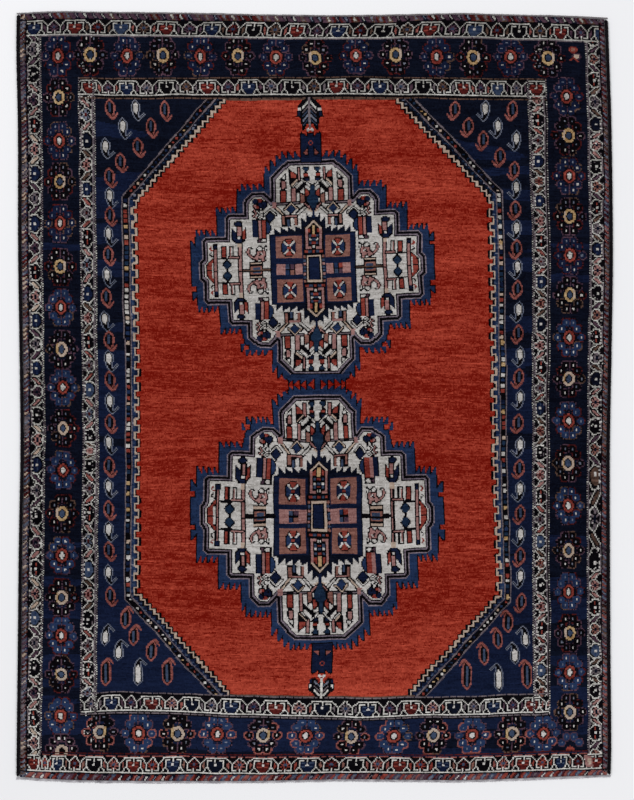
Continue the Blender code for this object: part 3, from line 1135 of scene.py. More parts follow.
# %% The middle block
def middle_block(pen, number):
    pen.area([
        (0, 0), (36, 0), (36, 29.4), (32.3, 29.8), (32.3, 35.6), (27.2, 30.6), (26.8, 36),
        (21.2, 31), (20.8, 35.8), (15.2, 31.4), (14.8, 36.2), (10.2, 33.6), (9.8, 42.4),
        (6.2, 38.8), (5.8, 46.6), (2.8, 42.8), (2.2, 44.5), (0, 44.5),
    ], "night")
    pen.box(9, 0, 35.4, 28.4, "navy")
    pen.box(10.3, 9.0, 31.3, 27.2, "salmon").box(9.6, 0, 31.3, 4.9, "pink")
    pen.area([(14.6, 14.6), (14.6, 21.6), (18, 25.4), (23.4, 25.4), (26.8, 21.6), (26.8, 14.6),
              (23.4, 10.4), (18, 10.4)], "black")
    pen.area([(26, 15), (26, 21), (24.4, 22), (21.8, 19.4), (21.8, 16.8), (24.4, 14.2)], "blue")
    pen.area([(15.3, 15), (15.3, 21.4), (16.8, 22), (19.4, 19.4), (19.4, 16.8), (16.8, 14.2)], "navy")
    pen.area([(17.6, 24.8), (23.8, 24.8), (21.6, 20.6), (19.8, 20.6)], "red")
    pen.area([(18, 11), (23.4, 11), (21.6, 15.2), (19.6, 15.2)], "red")
    pen.box(19.3, 16.4, 22.2, 18.8, "red")
    for x0, y0, x1, y1 in ((24.3, 22.3, 21.8, 19.7), (16.8, 22.6, 19.3, 19.7),
                           (23.8, 13.2, 21.8, 15.6), (16.4, 13.2, 18.8, 15.6)):
        pen.line([(x0, y0), (x1, y1)], "ivory", 1.5)
    pen.box(16.4, 0, 24.4, 4.3, "black")
    pen.box(16.6, 0.5, 19.9, 4.1, ("slate", "blue", "salmon", "mauve")[number])
    pen.box(21, 0.5, 24.2, 4.1, ("mauve", "red", "blue", "slate")[number])


# %% The column down the axis
def axis_column(pen):
    """Half of the column down the middle, drawn from the middle outwards."""
    pen.box(0, 0, 9.4, 16, "black")
    for y, dye in ((1.6, "slate"), (4.6, "pink"), (7.6, "slate"), (10.4, "salmon")):
        pen.oval(7.9, y, 1.1, 1.2, dye)
    pen.box(0, 0, 6.2, 11.6, "cream").box(0, 0, 4.6, 10, "black").box(0, 0, 4.0, 9.2, "navy")
    pen.box(0, 13.2, 1.2, 15.4, "red").box(2.2, 13.2, 4.6, 15.4, "slate")
    pen.box(5.4, 13.2, 7.8, 15.4, "red")
    pen.area([(0, 42), (8, 34.6), (8, 16), (0, 16)], "black")
    pen.line([(0, 39.8), (6.6, 33.6)], "cream", 1.6)
    pen.box(5.2, 17, 6.9, 33.4, "pink").box(2.4, 16.6, 6.8, 18.2, "pink")
    pen.box(0, 28.8, 1.4, 36.4, "straw").area([(2.6, 34.8), (4.6, 33), (4.6, 30), (2.6, 30)], "red")
    pen.box(0, 26.8, 1.7, 28, "red").box(2.2, 26.2, 4.3, 28.6, "slate")
    pen.box(0, 23.4, 1.7, 25, "slate").oval(3.2, 24.1, 1.0, 1.1, "ivory")
    pen.box(0, 20.8, 1.6, 22.2, "red").box(2.2, 20.4, 4.3, 22.6, "slate")
    pen.box(0.2, 17.6, 1.4, 19.4, "ivory")


# %% [markdown]
# Above and below the block stands a house. On its axis a teal spindle rises between red and
# salmon leaves to a zigzag roof, two dark hourglasses and two flags stand over that, a red bar
# and a lamp hang at the side, and a lozenge and a little table stand under the floor.

# %% The house above and below the block
def house(pen):
    striped(pen, [(11, 55.3), (30, 55.3)], "grey", 3.0)
    pen.area([(18.5, 84.4), (12, 79), (12, 75), (17.4, 70.4), (18.5, 70.6)], "black")
    pen.area([(17.3, 81.6), (15.4, 81), (12.9, 78.6), (12.9, 76.2), (17.3, 76.2)], "red")
    pen.box(8.7, 74, 12.2, 85.2, "black").box(9.6, 74, 11.3, 84, "pink")
    pen.area([(2.6, 85.6), (6.8, 85.6), (7.8, 84), (5.7, 81), (7.4, 79.4), (7.4, 76.6), (8.2, 73),
              (2, 73), (1.8, 76.5), (3, 78.6), (3.6, 81), (1.8, 84)], "black")
    pen.area([(3, 84.6), (6.4, 84.6), (6.8, 83.6), (5.4, 81.4), (3.8, 81.4), (2.8, 83.6)], "teal")
    pen.box(3.2, 77, 6.6, 79.2, "red").box(3.4, 73.8, 6.8, 75.6, "navy")
    striped(pen, [(8.4, 74.6), (2.4, 69.6)], "ivory", 3.4)
    striped(pen, [(12.4, 74.6), (16.8, 70.2)], "cream", 3.0)
    pen.line([(6.2, 70.8), (13.4, 64.6)], "black", 3.4)
    pen.line([(9.4, 74.6), (14.4, 68.8)], "black", 1.3)
    pen.line([(9.0, 73.0), (12.8, 68.8)], "ivory", 1.6)
    pen.box(13.2, 56, 17.8, 68.8, "black").box(14.2, 56, 16.9, 67.8, "pink")
    pen.area([(26.6, 75), (21.6, 81), (20.8, 74.2)], "black")
    pen.area([(24.8, 75.6), (22.2, 78.8), (22, 75.4)], "ivory")
    pen.oval(23.8, 70.6, 2.8, 4.2, "black", 3).oval(23.8, 70.8, 1.7, 3.1, "pink", 3)
    bar(pen, 22.4, 56.2, 25.7, 65.2, "red")
    pen.area([(10.9, 64.8), (6.2, 61.6), (5.4, 54.4), (10.9, 54)], "black")
    pen.area([(10.0, 62.8), (7.0, 60.8), (6.4, 55), (10.0, 54.6)], "salmon")
    striped(pen, [(6.6, 54.0), (1.8, 50.0)], "pink", 3.2)
    pen.line([(4.6, 49.4), (1.8, 48.2)], "cream", 1.3)
    pen.area([(7.1, 69), (2.4, 65), (2.2, 57.6), (3.4, 56.8), (6.8, 60)], "black")
    pen.area([(6.2, 66.8), (3.1, 64.2), (3.0, 58.8), (5.8, 60.8)], "red")
    pen.area([(0, 71.4), (2.4, 68.8), (2.4, 62.8), (5.5, 59.6), (5.5, 56), (1.8, 49.4), (0, 49)],
             "black")
    pen.area([(0, 70.4), (1.7, 68.2), (1.7, 62.2), (4.8, 59), (4.8, 56.4), (1.2, 49.8), (0, 49)],
             "teal")
    pen.box(0, 42, 1.3, 50, "navy")


# %% Under the floor of the house
def gate(pen):
    """The lozenge and the table under the floor of the house, and the lozenge beside them."""
    striped(pen, [(31, 52.8), (22.6, 44.0)], "cream", 3.4)
    striped(pen, [(7, 51.4), (14.2, 43.8)], "ivory", 3.4)
    striped(pen, [(22.6, 50), (17.8, 54.8), (12.6, 50.4)], "cream", 2.8)
    pen.diamond(17.6, 49.8, 4.5, 4.8, "black").diamond(17.6, 49.8, 3.4, 3.7, "blue")
    pen.box(12.2, 35.6, 25.8, 45.0, "black")
    pen.box(13.4, 43.0, 22.2, 44.2, "pink").box(22.6, 37, 24.8, 44.6, "salmon")
    pen.box(19.1, 35.8, 21, 41, "slate").oval(16.7, 39.3, 1.4, 3.0, "ivory", 3)
    pen.box(13.1, 36.4, 14.9, 42.4, "salmon").box(12.2, 35.4, 18.2, 36.4, "ivory")
    striped(pen, [(39.8, 45.4), (35.0, 50.4), (30.4, 46)], "ivory", 2.8)
    pen.diamond(35.0, 44.4, 4.8, 5.2, "black").diamond(35.0, 44.4, 3.7, 4.1, "navy")
    pen.area([(30, 51.8), (33.6, 51.8), (33.2, 56.4), (30, 56.4)], "pink")


# %% [markdown]
# Between the block and the wing stands a column of small things on ivory: an animal, a vase of
# coloured bars, curling stems and a flower head. The animal is charted; it is a goat or a dog
# of the plainest kind, with a curled tail.

# %% The charts of the animal, the stems and the flower head, as seen at the far left
ANIMAL = [
    "..........kkk...kk",
    "..kkk....k..kk.kkk",
    ".kp.kk..k.i..kkk..",
    ".kpk....kk...k.k.k",
    "kppk....kkkkkkpk.k",
    "kppk....kppppkppk.",
    ".kpk....kppkipppk.",
    ".kppk..kkppkkippk.",
    "..kppkkkppkkppppk.",
    "...kppkppppppppkk.",
    "....kkppppkppppk..",
    ".....kkkppkkkppk..",
    ".......kkk..kppkk.",
    "........k....kkk..",
]
STEMS = [
    "..k.kk..kk",
    ".kpkk.kkik",
    "kkpk.kki..",
    ".kkpk.ki.k",
    "..kpkk.kkk",
    "kkpk.kki..",
    "kpk.kk.kk.",
    ".kkpk.ki.k",
    "...kkk.kk.",
    "...kkkk...",
]
FLOWER_HEAD = [
    "..nnnrrrk....",
    ".nnnnkrrrk...",
    ".nnnnkrrkkkk.",
    ".nnnkknnknnnk",
    "..kkkknnnnnnk",
    ".kppkknnnknnk",
    ".kpprrknnknkk",
    ".kkprrkkknnk.",
    "..kkkkk.kkk..",
    "....kk..kk...",
]
PICTURE = {"k": "black", "p": "pink", "i": "ivory", "n": "navy", "r": "red"}

# %% The column with the animal, and the spool on the middle line
def turned(rows):
    """A chart as it is seen in the far left quarter, turned to run outwards."""
    return [row[::-1] for row in rows[::-1]]


def side_column(pen):
    pen.chart(turned(ANIMAL), 47.5, 13.9, PICTURE)
    pen.chart(turned(STEMS), 45.5, 46.4, PICTURE)
    pen.chart(turned(FLOWER_HEAD), 43.6, 54.9, PICTURE)
    pen.box(37.8, 25.2, 50.3, 42.0, "black")
    pen.box(45.9, 26.8, 49.6, 41.2, "navy").box(43.0, 26.2, 45.0, 41.2, "pink")
    pen.box(39.2, 26.2, 42.2, 41.4, "red")
    pen.area([(38.6, 41.6), (36.2, 40.4), (34.2, 37), (34.2, 33), (36.4, 29.6), (38.6, 28.8)], "black")
    pen.area([(38.0, 40.6), (36.6, 39.6), (35, 36.6), (35, 33.4), (36.8, 30.4), (38.0, 30)], "blue")
    pen.box(37.6, 22.2, 46.8, 26.4, "black").oval(40.8, 24.2, 1.9, 1.2, "ivory")
    pen.oval(44.8, 24.2, 1.0, 1.1, "mauve").box(46, 25.2, 50.6, 27.4, "ivory")


def spool(pen):
    """Half of the box on the middle line, with the bars that tie it to block and wing."""
    striped(pen, [(36, 0), (58, 0)], "brown", 3.0)
    pen.box(42, 0, 52.8, 7.6, "black").box(42.6, 5.4, 52.2, 6.8, "cream")
    pen.box(42.8, 0, 52, 3.8, "salmon").box(43.8, 0, 49.8, 2.4, "slate")


# %% [markdown]
# The wing at the side is a room of its own. A red crescent closes it, two posts stand in it,
# and between them are two teal lozenges, tip to tip, with a red bar and an arch at each end.

# %% The wing
def wing(pen):
    striped(pen, [(80.8, 0), (80.8, 19)], "pink", 4.0)
    pen.box(78.8, 17.6, 83, 22.2, "black").box(79.8, 18, 82, 20.8, "navy")
    striped(pen, [(60.2, 0), (60.2, 25)], "pink", 4.0)
    edged(pen, [(83.6, 0), (88, 0), (88, 4.4), (83.4, 9.6), (82.6, 10.6), (82.6, 8.4), (84, 6)],
          "red", 1.8)
    pen.line([(83.2, 0), (83.2, 6)], "ivory", 1.3)
    striped(pen, [(61, 10.9), (69, 10.9)], "pink", 3.0).line([(69, 9.9), (78.6, 9.9)], "black", 1.4)
    pen.line([(67.2, 5.2), (71, 9.4), (74.8, 5.2)], "black", 1.0)
    pen.diamond(71, 4.6, 4.6, 4.8, "black").diamond(71, 4.4, 3.6, 4.0, "teal")
    pen.box(70.2, -0.4, 71.8, 1.4, "black")
    bar(pen, 72.2, 11.8, 74.8, 19.6, "red")
    pen.line([(68.6, 11.8), (68.6, 20), (65.4, 20), (65.4, 11.8)], "black", 1.2)
    pen.line([(67.6, 11.8), (67.6, 18.6)], "pink", 0.9)
    pen.line([(83.8, 12.2), (85.8, 13.6), (84.6, 15)], "black", 1.2)
    pen.line([(84, 17), (86, 18.4), (84.2, 20)], "red", 1.1)


# %% The lamp in the wing's corner
def lamp(pen):
    """A lamp where the wing's inner post goes up: a ball, two petals and a bar between them."""
    pen.box(58.9, 19, 62.2, 25, "cream")
    pen.area([(67.4, 36.8), (63, 32), (59, 32), (54.8, 36.8), (54.6, 27.2), (58.4, 22.6), (64, 22.6),
              (66.8, 26)], "black")
    pen.area([(66.5, 35.2), (62.9, 31), (62.9, 24), (65.8, 26.8)], "navy")
    pen.area([(55.6, 35.2), (58.2, 32.2), (58.2, 25.4), (55.6, 27.8)], "red")
    pen.box(57.8, 28.6, 62.7, 37, "black").box(58.9, 29, 61.7, 36.2, "pink")
    pen.box(59.6, 26.8, 61.8, 28.6, "ivory").box(59, 23.4, 63.6, 26, "navy")
    pen.oval(61.4, 38.8, 3.8, 2.6, "black").oval(61.4, 38.9, 2.7, 1.5, "navy")


# %% Filling both medallions, quarter by quarter
for pen in MEDALLIONS:
    for corner, quarter in enumerate(quarters(pen)):
        middle_block(quarter, corner)
        for fill in (house, gate, side_column, spool, wing, lamp, axis_column):
            fill(quarter)
print("two medallions filled")

# %% [markdown]
# ## The rug's outline in metres
#
# The rug isn't a rectangle. Its sides draw in a little at the waist and its ends bow, because
# the tension of the warps changed while it was woven. Two tables, the same as in the CAD, give
# the sides at shares of the length and the ends at shares of the width, and every knot is laid
# between them.

# %% The edges of the pile, as shares and metres
SIDE_EDGES = [
    (0.000, -0.8090, 0.8050), (0.040, -0.8085, 0.8068), (0.165, -0.8055, 0.8045),
    (0.300, -0.8028, 0.8032), (0.430, -0.7982, 0.8030), (0.560, -0.8008, 0.8076),
    (0.690, -0.8046, 0.8112), (0.850, -0.8052, 0.8076), (0.955, -0.8095, 0.8008),
    (1.000, -0.8082, 0.7972),
]
END_EDGES = [
    (0.000, -1.0440, 1.0530), (0.070, -1.0510, 1.0575), (0.150, -1.0540, 1.0560),
    (0.280, -1.0550, 1.0535), (0.410, -1.0545, 1.0490), (0.550, -1.0505, 1.0465),
    (0.680, -1.0520, 1.0495), (0.750, -1.0525, 1.0522), (0.830, -1.0490, 1.0490),
    (0.920, -1.0430, 1.0455), (1.000, -1.0385, 1.0392),
]
MIDDLE_ACROSS = 0.00090
MIDDLE_ALONG = -0.00074
BINDING_WIDTH = 0.0095
GAP = 0.0003

# %% From the tables to a place on the rug
def smooth_between(table, share, column):
    """One column of a table at a share from 0 to 1, eased between its rows."""
    last = len(table) - 1
    for i in range(last):
        if share <= table[i + 1][0] or i == last - 1:
            break
    before, start, end = table[max(i - 1, 0)], table[i], table[i + 1]
    after = table[min(i + 2, last)]
    span = end[0] - start[0]
    t = (share - start[0]) / span
    slope_in = (end[column] - before[column]) / max(end[0] - before[0], 1e-9) * span
    slope_out = (after[column] - start[column]) / max(after[0] - start[0], 1e-9) * span
    t2, t3 = t * t, t * t * t
    return (
        (2 * t3 - 3 * t2 + 1) * start[column] + (t3 - 2 * t2 + t) * slope_in
        + (3 * t2 - 2 * t3) * end[column] + (t3 - t2) * slope_out
    )


FINE = np.linspace(0, 1, 1001)
EDGES = {
    name: np.array([smooth_between(table, share, column) for share in FINE])
    for name, table, column in (
        ("left", SIDE_EDGES, 1), ("right", SIDE_EDGES, 2),
        ("near", END_EDGES, 1), ("far", END_EDGES, 2),
    )
}


def on_rug(across, along):
    """Shares of the width and the length, in arrays of one shape, as metres."""
    left, right = (np.interp(along, FINE, EDGES[name]) for name in ("left", "right"))
    near, far = (np.interp(across, FINE, EDGES[name]) for name in ("near", "far"))
    x = left + (right - left) * across - MIDDLE_ACROSS
    y = near + (far - near) * along - MIDDLE_ALONG
    return x, y


# %% [markdown]
# ## Every corner between knots
#
# A tuft never stands exactly where its knot is tied. The lines of the design shiver by half a
# knot or so over a few centimetres, each corner is a little off by chance, and the surface is
# uneven: clipped by hand, worn, and lower where the wool is black, because the iron in the dye
# eats it. At the edges the last tufts lean over and down to the base.

# %% Where the corners lie
corner_columns, corner_rows = np.meshgrid(np.arange(COLUMNS + 1.0), np.arange(ROWS + 1.0))
inner = np.minimum(corner_columns, COLUMNS - corner_columns)
inner = np.minimum(inner, np.minimum(corner_rows, ROWS - corner_rows))
freedom = np.clip(inner / 4, 0, 1)


def corner_noise(seed, across, along):
    field = wander(seed, across, along)
    return np.pad(field, ((0, 1), (0, 1)), mode="edge")


ROUND_SHIVER = 0.75
LONG_SHIVER = 0.55
BY_CHANCE = 0.10
shiver_x = ROUND_SHIVER * corner_noise(21, 7, 7) + LONG_SHIVER * corner_noise(22, 3, 12)
shiver_y = ROUND_SHIVER * corner_noise(23, 7, 7) + LONG_SHIVER * corner_noise(24, 12, 3)
chance = rng.normal(size=(3, ROWS + 1, COLUMNS + 1))
moved_columns = corner_columns + drift_across + freedom * (shiver_x + BY_CHANCE * chance[0])
moved_rows = corner_rows + drift_down + freedom * (shiver_y + BY_CHANCE * chance[1])
LEAN = 0.6
moved_columns += (corner_columns == 1) * -LEAN + (corner_columns == COLUMNS - 1) * LEAN
moved_rows += (corner_rows == 1) * -LEAN + (corner_rows == ROWS - 1) * LEAN
corner_x, corner_y = on_rug(moved_columns / COLUMNS, 1 - moved_rows / ROWS)

# %% How high the pile stands
PILE = 0.0088
CORROSION = 0.0007
HIGHEST = 0.0093
BASE = 0.0006
UNEVEN_CLIPPING = 0.00035
UNEVEN_TUFTS = 0.00016
RIDGES = 0.00018
corroded = np.pad((plan == INDEX["black"]).astype(float), ((0, 1), (0, 1)), mode="edge")
corner_z = PILE - CORROSION * soften(corroded, 1, 1)
corner_z += UNEVEN_CLIPPING * corner_noise(25, 14, 14) + UNEVEN_TUFTS * np.clip(chance[2], -2, 2)
corner_z += RIDGES * corner_noise(26, 10, 1)
drop_down = np.interp(inner, [0, 1, 2, 3, 5], [PILE - BASE, 0.0026, 0.0011, 0.0004, 0])
corner_z = np.minimum(corner_z, HIGHEST) - drop_down
corner_z[inner == 0] = BASE
print("pile from", round(float(corner_z.min()), 4), "to", round(float(corner_z.max()), 4), "m")

# %% [markdown]
# ## How much dye each knot took
#
# The eye reads an old rug by its abrash, the bands of lighter and darker wool that run across
# it. They come in three sizes: lots that last for a hand's breadth, single skeins that show as
# streaks one or two knots deep, and the difference from knot to knot. The red is deepest from
# the middle of the rug to the foot of the nearer medallion, and palest at the near end, where
# the blue and the white wool are lighter too.

# %% The share of the light shade in every knot
RED_FADE_ROWS = [72, 110, 150, 200, 250, 310, 360, 420, 470, 520, 545, 570]
RED_FADE = [0.00, 0.04, 0.00, 0.00, -0.06, -0.08, -0.06, -0.08, -0.12, 0.00, 0.12, 0.20]
MEAN_SHARE = 0.42
LOTS, SKEINS, PATCHES, RUNS, SINGLE_KNOTS = 0.16, 0.22, 0.14, 0.6, 0.14
light_share = MEAN_SHARE + LOTS * wander(31, 80, 6) + SKEINS * wander(32, 26, 1)
light_share += PATCHES * wander(33, 9, 9)
knot_to_knot = np.random.default_rng(34).normal(size=plan.shape)
light_share += RUNS * wander(36, 2, 0) + SINGLE_KNOTS * knot_to_knot
reds = plan == INDEX["madder"]
pale_streaks = np.clip(wander(35, 34, 0) - 0.42, 0, 0.5) * 0.7
light_share[reds] += (pale_streaks - 0.10)[reds]
light_share += np.interp(np.arange(ROWS), RED_FADE_ROWS, RED_FADE)[:, None] * np.where(reds, 1.2, 0.6)
LIGHTER_NEAR = {"blue": (-0.2, 0.3), "slate": (-0.2, 0.3), "ivory": (-0.1, 0.35), "chalk": (-0.3, 0.05)}
for dye, (at_far_end, at_near_end) in LIGHTER_NEAR.items():
    light_share += (plan == INDEX[dye]) * np.linspace(at_far_end, at_near_end, ROWS)[:, None]
light_share = np.clip(light_share, 0, 1)
print("share of light wool", round(float(light_share.mean()), 2))

# %% [markdown]
# ## The wool
#
# One material serves the whole pile. It finds the knot's dye on a colour ramp of hard steps,
# once for the deep shade and once for the light one, and mixes the two by the knot's own share.
# Wool fibres stand up and scatter light at their tips, so the shader is rough, has a little
# sheen, and a fine bump breaks up each tuft.

# %% Colours and colour ramps
def linear(colour):
    """A screen colour from 0 to 255 as linear light, with alpha."""
    values = [v / 255 for v in colour]
    values = [v / 12.92 if v <= 0.04045 else ((v + 0.055) / 1.055) ** 2.4 for v in values]
    return (*values, 1.0)


def new_material(name):
    material = bpy.data.materials.new(name)
    material.use_nodes = True
    return material, material.node_tree.nodes, material.node_tree.links


def hard_ramp(nodes, colours):
    """A colour ramp with one hard step for each colour."""
    ramp = nodes.new("ShaderNodeValToRGB")
    ramp.color_ramp.interpolation = "CONSTANT"
    elements = ramp.color_ramp.elements
    elements.remove(elements[1])
    elements[0].position = 0.0
    elements[0].color = linear(colours[0])
    for number, colour in enumerate(colours[1:], 1):
        elements.new(number / len(colours)).color = linear(colour)
    return ramp


# %% Shader nodes that are wanted more than once
def attribute(nodes, name):
    node = nodes.new("ShaderNodeAttribute")
    node.attribute_name = name
    return node.outputs["Fac"]


def mixed(nodes, links, share, a, b, mode="MIX"):
    node = nodes.new("ShaderNodeMix")
    node.data_type = "RGBA"
    node.blend_type = mode
    for number, value in ((0, share), (6, a), (7, b)):
        if isinstance(value, bpy.types.NodeSocket):
            links.new(value, node.inputs[number])
        else:
            node.inputs[number].default_value = value
    return node.outputs[2]


def noise(nodes, links, scale, detail=3.0, stretch=None):
    """Noise in metres on the object, stretched along an axis if asked."""
    node = nodes.new("ShaderNodeTexNoise")
    node.inputs["Scale"].default_value = scale
    node.inputs["Detail"].default_value = detail
    place = nodes.new("ShaderNodeTexCoord").outputs["Object"]
    if stretch:
        mapping = nodes.new("ShaderNodeMapping")
        mapping.inputs["Scale"].default_value = stretch
        links.new(place, mapping.inputs["Vector"])
        place = mapping.outputs["Vector"]
    links.new(place, node.inputs["Vector"])
    return node.outputs["Fac"]


def math_node(nodes, links, kind, a, b, c=0.0):
    node = nodes.new("ShaderNodeMath")
    node.operation = kind
    for number, value in enumerate((a, b, c)):
        if isinstance(value, bpy.types.NodeSocket):
            links.new(value, node.inputs[number])
        else:
            node.inputs[number].default_value = value
    return node.outputs[0]


def bump(nodes, links, height, strength, distance):
    node = nodes.new("ShaderNodeBump")
    node.inputs["Strength"].default_value = strength
    node.inputs["Distance"].default_value = distance
    links.new(height, node.inputs["Height"])
    return node.outputs["Normal"]


# %% The materials of the knotted wool and of the knots' backs
def wool_material(name, fibre, depth):
    material, nodes, links = new_material(name)
    shader = nodes["Principled BSDF"]
    dye = attribute(nodes, "dye")
    share = attribute(nodes, "light_share")
    tuft = noise(nodes, links, fibre, 4.0)
    tufted = math_node(nodes, links, "MULTIPLY_ADD", tuft, 0.5, -0.25)
    share = math_node(nodes, links, "ADD", share, tufted)
    deep = hard_ramp(nodes, [pair[0] for pair in DYES.values()])
    light = hard_ramp(nodes, [pair[1] for pair in DYES.values()])
    links.new(dye, deep.inputs["Fac"])
    links.new(dye, light.inputs["Fac"])
    colour = mixed(nodes, links, share, deep.outputs["Color"], light.outputs["Color"])
    links.new(colour, shader.inputs["Base Color"])
    shader.inputs["Roughness"].default_value = 0.96
    shader.inputs["Specular IOR Level"].default_value = 0.015
    shader.inputs["Sheen Weight"].default_value = 0.004
    shader.inputs["Sheen Roughness"].default_value = 0.6
    fine = bump(nodes, links, tuft, 0.55, depth)
    links.new(fine, shader.inputs["Normal"])
    return material


knotted_wool = wool_material("knotted_wool", 620.0, 0.0010)
knot_backs = wool_material("knot_backs", 420.0, 0.0005)

# %% [markdown]
# ## The pile
#
# The pile is one surface with a face for each knot, made in four quarters. Their edges meet on
# the same corners, so no seam shows.

# %% Building a piece of pile, or of the back
def knot_sheet(name, xs, ys, zs, dyes, shares, material, face_up=True):
    """A grid of corners with one face for each dye; rows run from far to near."""
    rows, columns = dyes.shape
    mesh = bpy.data.meshes.new(name)
    mesh.vertices.add(xs.size)
    places = np.stack([xs.ravel(), ys.ravel(), zs.ravel()], 1)
    mesh.vertices.foreach_set("co", places.ravel().astype(np.float32))
    number = np.arange(xs.size).reshape(xs.shape)
    around = [number[:-1, :-1], number[1:, :-1], number[1:, 1:], number[:-1, 1:]]
    across, along = np.meshgrid(np.linspace(0, 1, columns + 1), np.linspace(1, 0, rows + 1))
    if not face_up:
        around = around[::-1]
    corners = np.stack(around, -1).reshape(-1)
    mesh.loops.add(corners.size)
    mesh.loops.foreach_set("vertex_index", corners.astype(np.int32))
    mesh.polygons.add(rows * columns)
    mesh.polygons.foreach_set("loop_start", np.arange(0, corners.size, 4, dtype=np.int32))
    mesh.polygons.foreach_set("use_smooth", np.ones(rows * columns, bool))
    flat = mesh.uv_layers.new(name="OFBake")
    places = np.stack([across.ravel()[corners], along.ravel()[corners]], 1)
    flat.data.foreach_set("uv", places.ravel().astype(np.float32))
    for attribute_name, values in (("dye", (dyes + 0.5) / len(DYES)), ("light_share", shares)):
        layer = mesh.attributes.new(attribute_name, "FLOAT", "FACE")
        layer.data.foreach_set("value", values.ravel().astype(np.float32))
    mesh.update(calc_edges=True)
    mesh.materials.append(material)
    piece = bpy.data.objects.new(name, mesh)
    bpy.context.scene.collection.objects.link(piece)
    return piece


# %% The four quarters of the pile
quarter_pieces = []
for end, r0, r1 in (("far", 0, ROWS // 2), ("near", ROWS // 2, ROWS)):
    for side, c0, c1 in (("left", 0, COLUMNS // 2), ("right", COLUMNS // 2, COLUMNS)):
        corners = (slice(r0, r1 + 1), slice(c0, c1 + 1))
        knots = (slice(r0, r1), slice(c0, c1))
        piece = knot_sheet(
            "pile_" + end + "_" + side, corner_x[corners], corner_y[corners], corner_z[corners],
            plan[knots], light_share[knots], knotted_wool,
        )
        quarter_pieces.append(piece)
        print(piece.name, len(piece.data.polygons), "knots")

# %% [markdown]
# ## The back
#
# Turned over, a knotted rug shows the same design in mirror image, without the pile and a
# little brighter. The back is made at half the fineness, with one face for two knots by two,
# which is enough for a side that lies on the floor.

# %% The back of the rug
back_corners = (slice(0, ROWS + 1, 2), slice(0, COLUMNS + 1, 2))
UNEVEN_BACK = 0.00012
back_z = BASE + UNEVEN_BACK * chance[2][back_corners].clip(-2, 2)
back_z[inner[back_corners] < 2] = BASE
rug_back = knot_sheet(
    "rug_back", corner_x[back_corners], corner_y[back_corners], back_z,
    plan[::2, ::2], np.clip(light_share[::2, ::2] + 0.1, 0, 1), knot_backs, face_up=False,
)
for piece in quarter_pieces + [rug_back]:
    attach(piece, "root")
    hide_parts("pile")

# %% [markdown]
# ## The bound sides
#
# Along each side the outermost warps are wrapped over and over with dark wool. The binding is a
# flattened cord with a turn of yarn every three or four millimetres, each turn a little fuller
# or thinner than the next.

# %% Dark yarn for the sides
def yarn_material(name, deep, light, fibre, stretch):
    material, nodes, links = new_material(name)
    shader = nodes["Principled BSDF"]
    strands = noise(nodes, links, fibre, 3.0, stretch=stretch)
    lots_of_yarn = noise(nodes, links, 14.0, 2.0)
    share = math_node(nodes, links, "MULTIPLY_ADD", strands, 0.7, -0.1)
    share = math_node(nodes, links, "MULTIPLY_ADD", lots_of_yarn, 0.5, share)
    colour = mixed(nodes, links, share, linear(deep), linear(light))
    links.new(colour, shader.inputs["Base Color"])
    shader.inputs["Roughness"].default_value = 0.92
    shader.inputs["Specular IOR Level"].default_value = 0.03
    links.new(bump(nodes, links, strands, 0.6, 0.0006), shader.inputs["Normal"])
    return material


overcast_wool = yarn_material("overcast_wool", (4, 3, 5), (26, 23, 27), 900.0, (0.35, 1.0, 1.0))

# %% A mesh from rings of places
def grid_piece(name, places, material, closed=False):
    """A mesh from rings of places; closed joins the last place of a ring to its first."""
    rings, sides = places.shape[:2]
    number = np.arange(rings * sides).reshape(rings, sides)
    if closed:
        number = np.concatenate([number, number[:, :1]], 1)
    faces = np.stack([number[:-1, :-1], number[:-1, 1:], number[1:, 1:], number[1:, :-1]], -1)
    mesh = bpy.data.meshes.new(name)
    mesh.from_pydata(places.reshape(-1, 3).tolist(), [], faces.reshape(-1, 4).tolist())
    mesh.polygons.foreach_set("use_smooth", np.ones(len(mesh.polygons), bool))
    mesh.materials.append(material)
    piece = bpy.data.objects.new(name, mesh)
    bpy.context.scene.collection.objects.link(piece)
    return piece


# %% The two bindings
TURNS_OF_YARN = 590
CORD_HALF_HIGH = 0.0037


def flattened(wave):
    """A cosine or sine, squared up a little, for the section of the cord."""
    return np.sign(wave) * np.abs(wave) ** 0.8


def binding(name, across, outward, seed):
    """A cord of three rings for each turn of yarn, along one side of the pile."""
    dice = np.random.default_rng(seed)
    rings = TURNS_OF_YARN * 3 + 1
    along = np.linspace(0.0008, 0.9992, rings)
    edge_x, edge_y = on_rug(np.full(rings, float(across)), along)
    fullness = np.repeat(dice.normal(1.0, 0.045, TURNS_OF_YARN + 1), 3)[:rings]
    swell = np.cos(np.arange(rings) * 2 * math.pi / 3) * 0.05 + fullness
    from_end = np.minimum(np.arange(rings), np.arange(rings)[::-1])
    swell *= np.interp(from_end, [0, 1, 2, 4], [0.03, 0.62, 0.86, 1.0])
    round_it = np.linspace(0, 2 * math.pi, 13)[:-1]
    half_wide = BINDING_WIDTH / 2
    wide = flattened(np.cos(round_it)) * half_wide
    high = flattened(np.sin(round_it)) * CORD_HALF_HIGH
    x = (edge_x + outward * (GAP + half_wide))[:, None] + wide[None] * swell[:, None]
    slant = -outward * wide[None] * 0.18
    y = edge_y[:, None] + slant + np.zeros_like(x)
    z = np.maximum(CORD_HALF_HIGH + 0.0001 + high[None] * swell[:, None], 0.0002)
    return grid_piece(name, np.stack([x, y, z], -1), overcast_wool, closed=True)


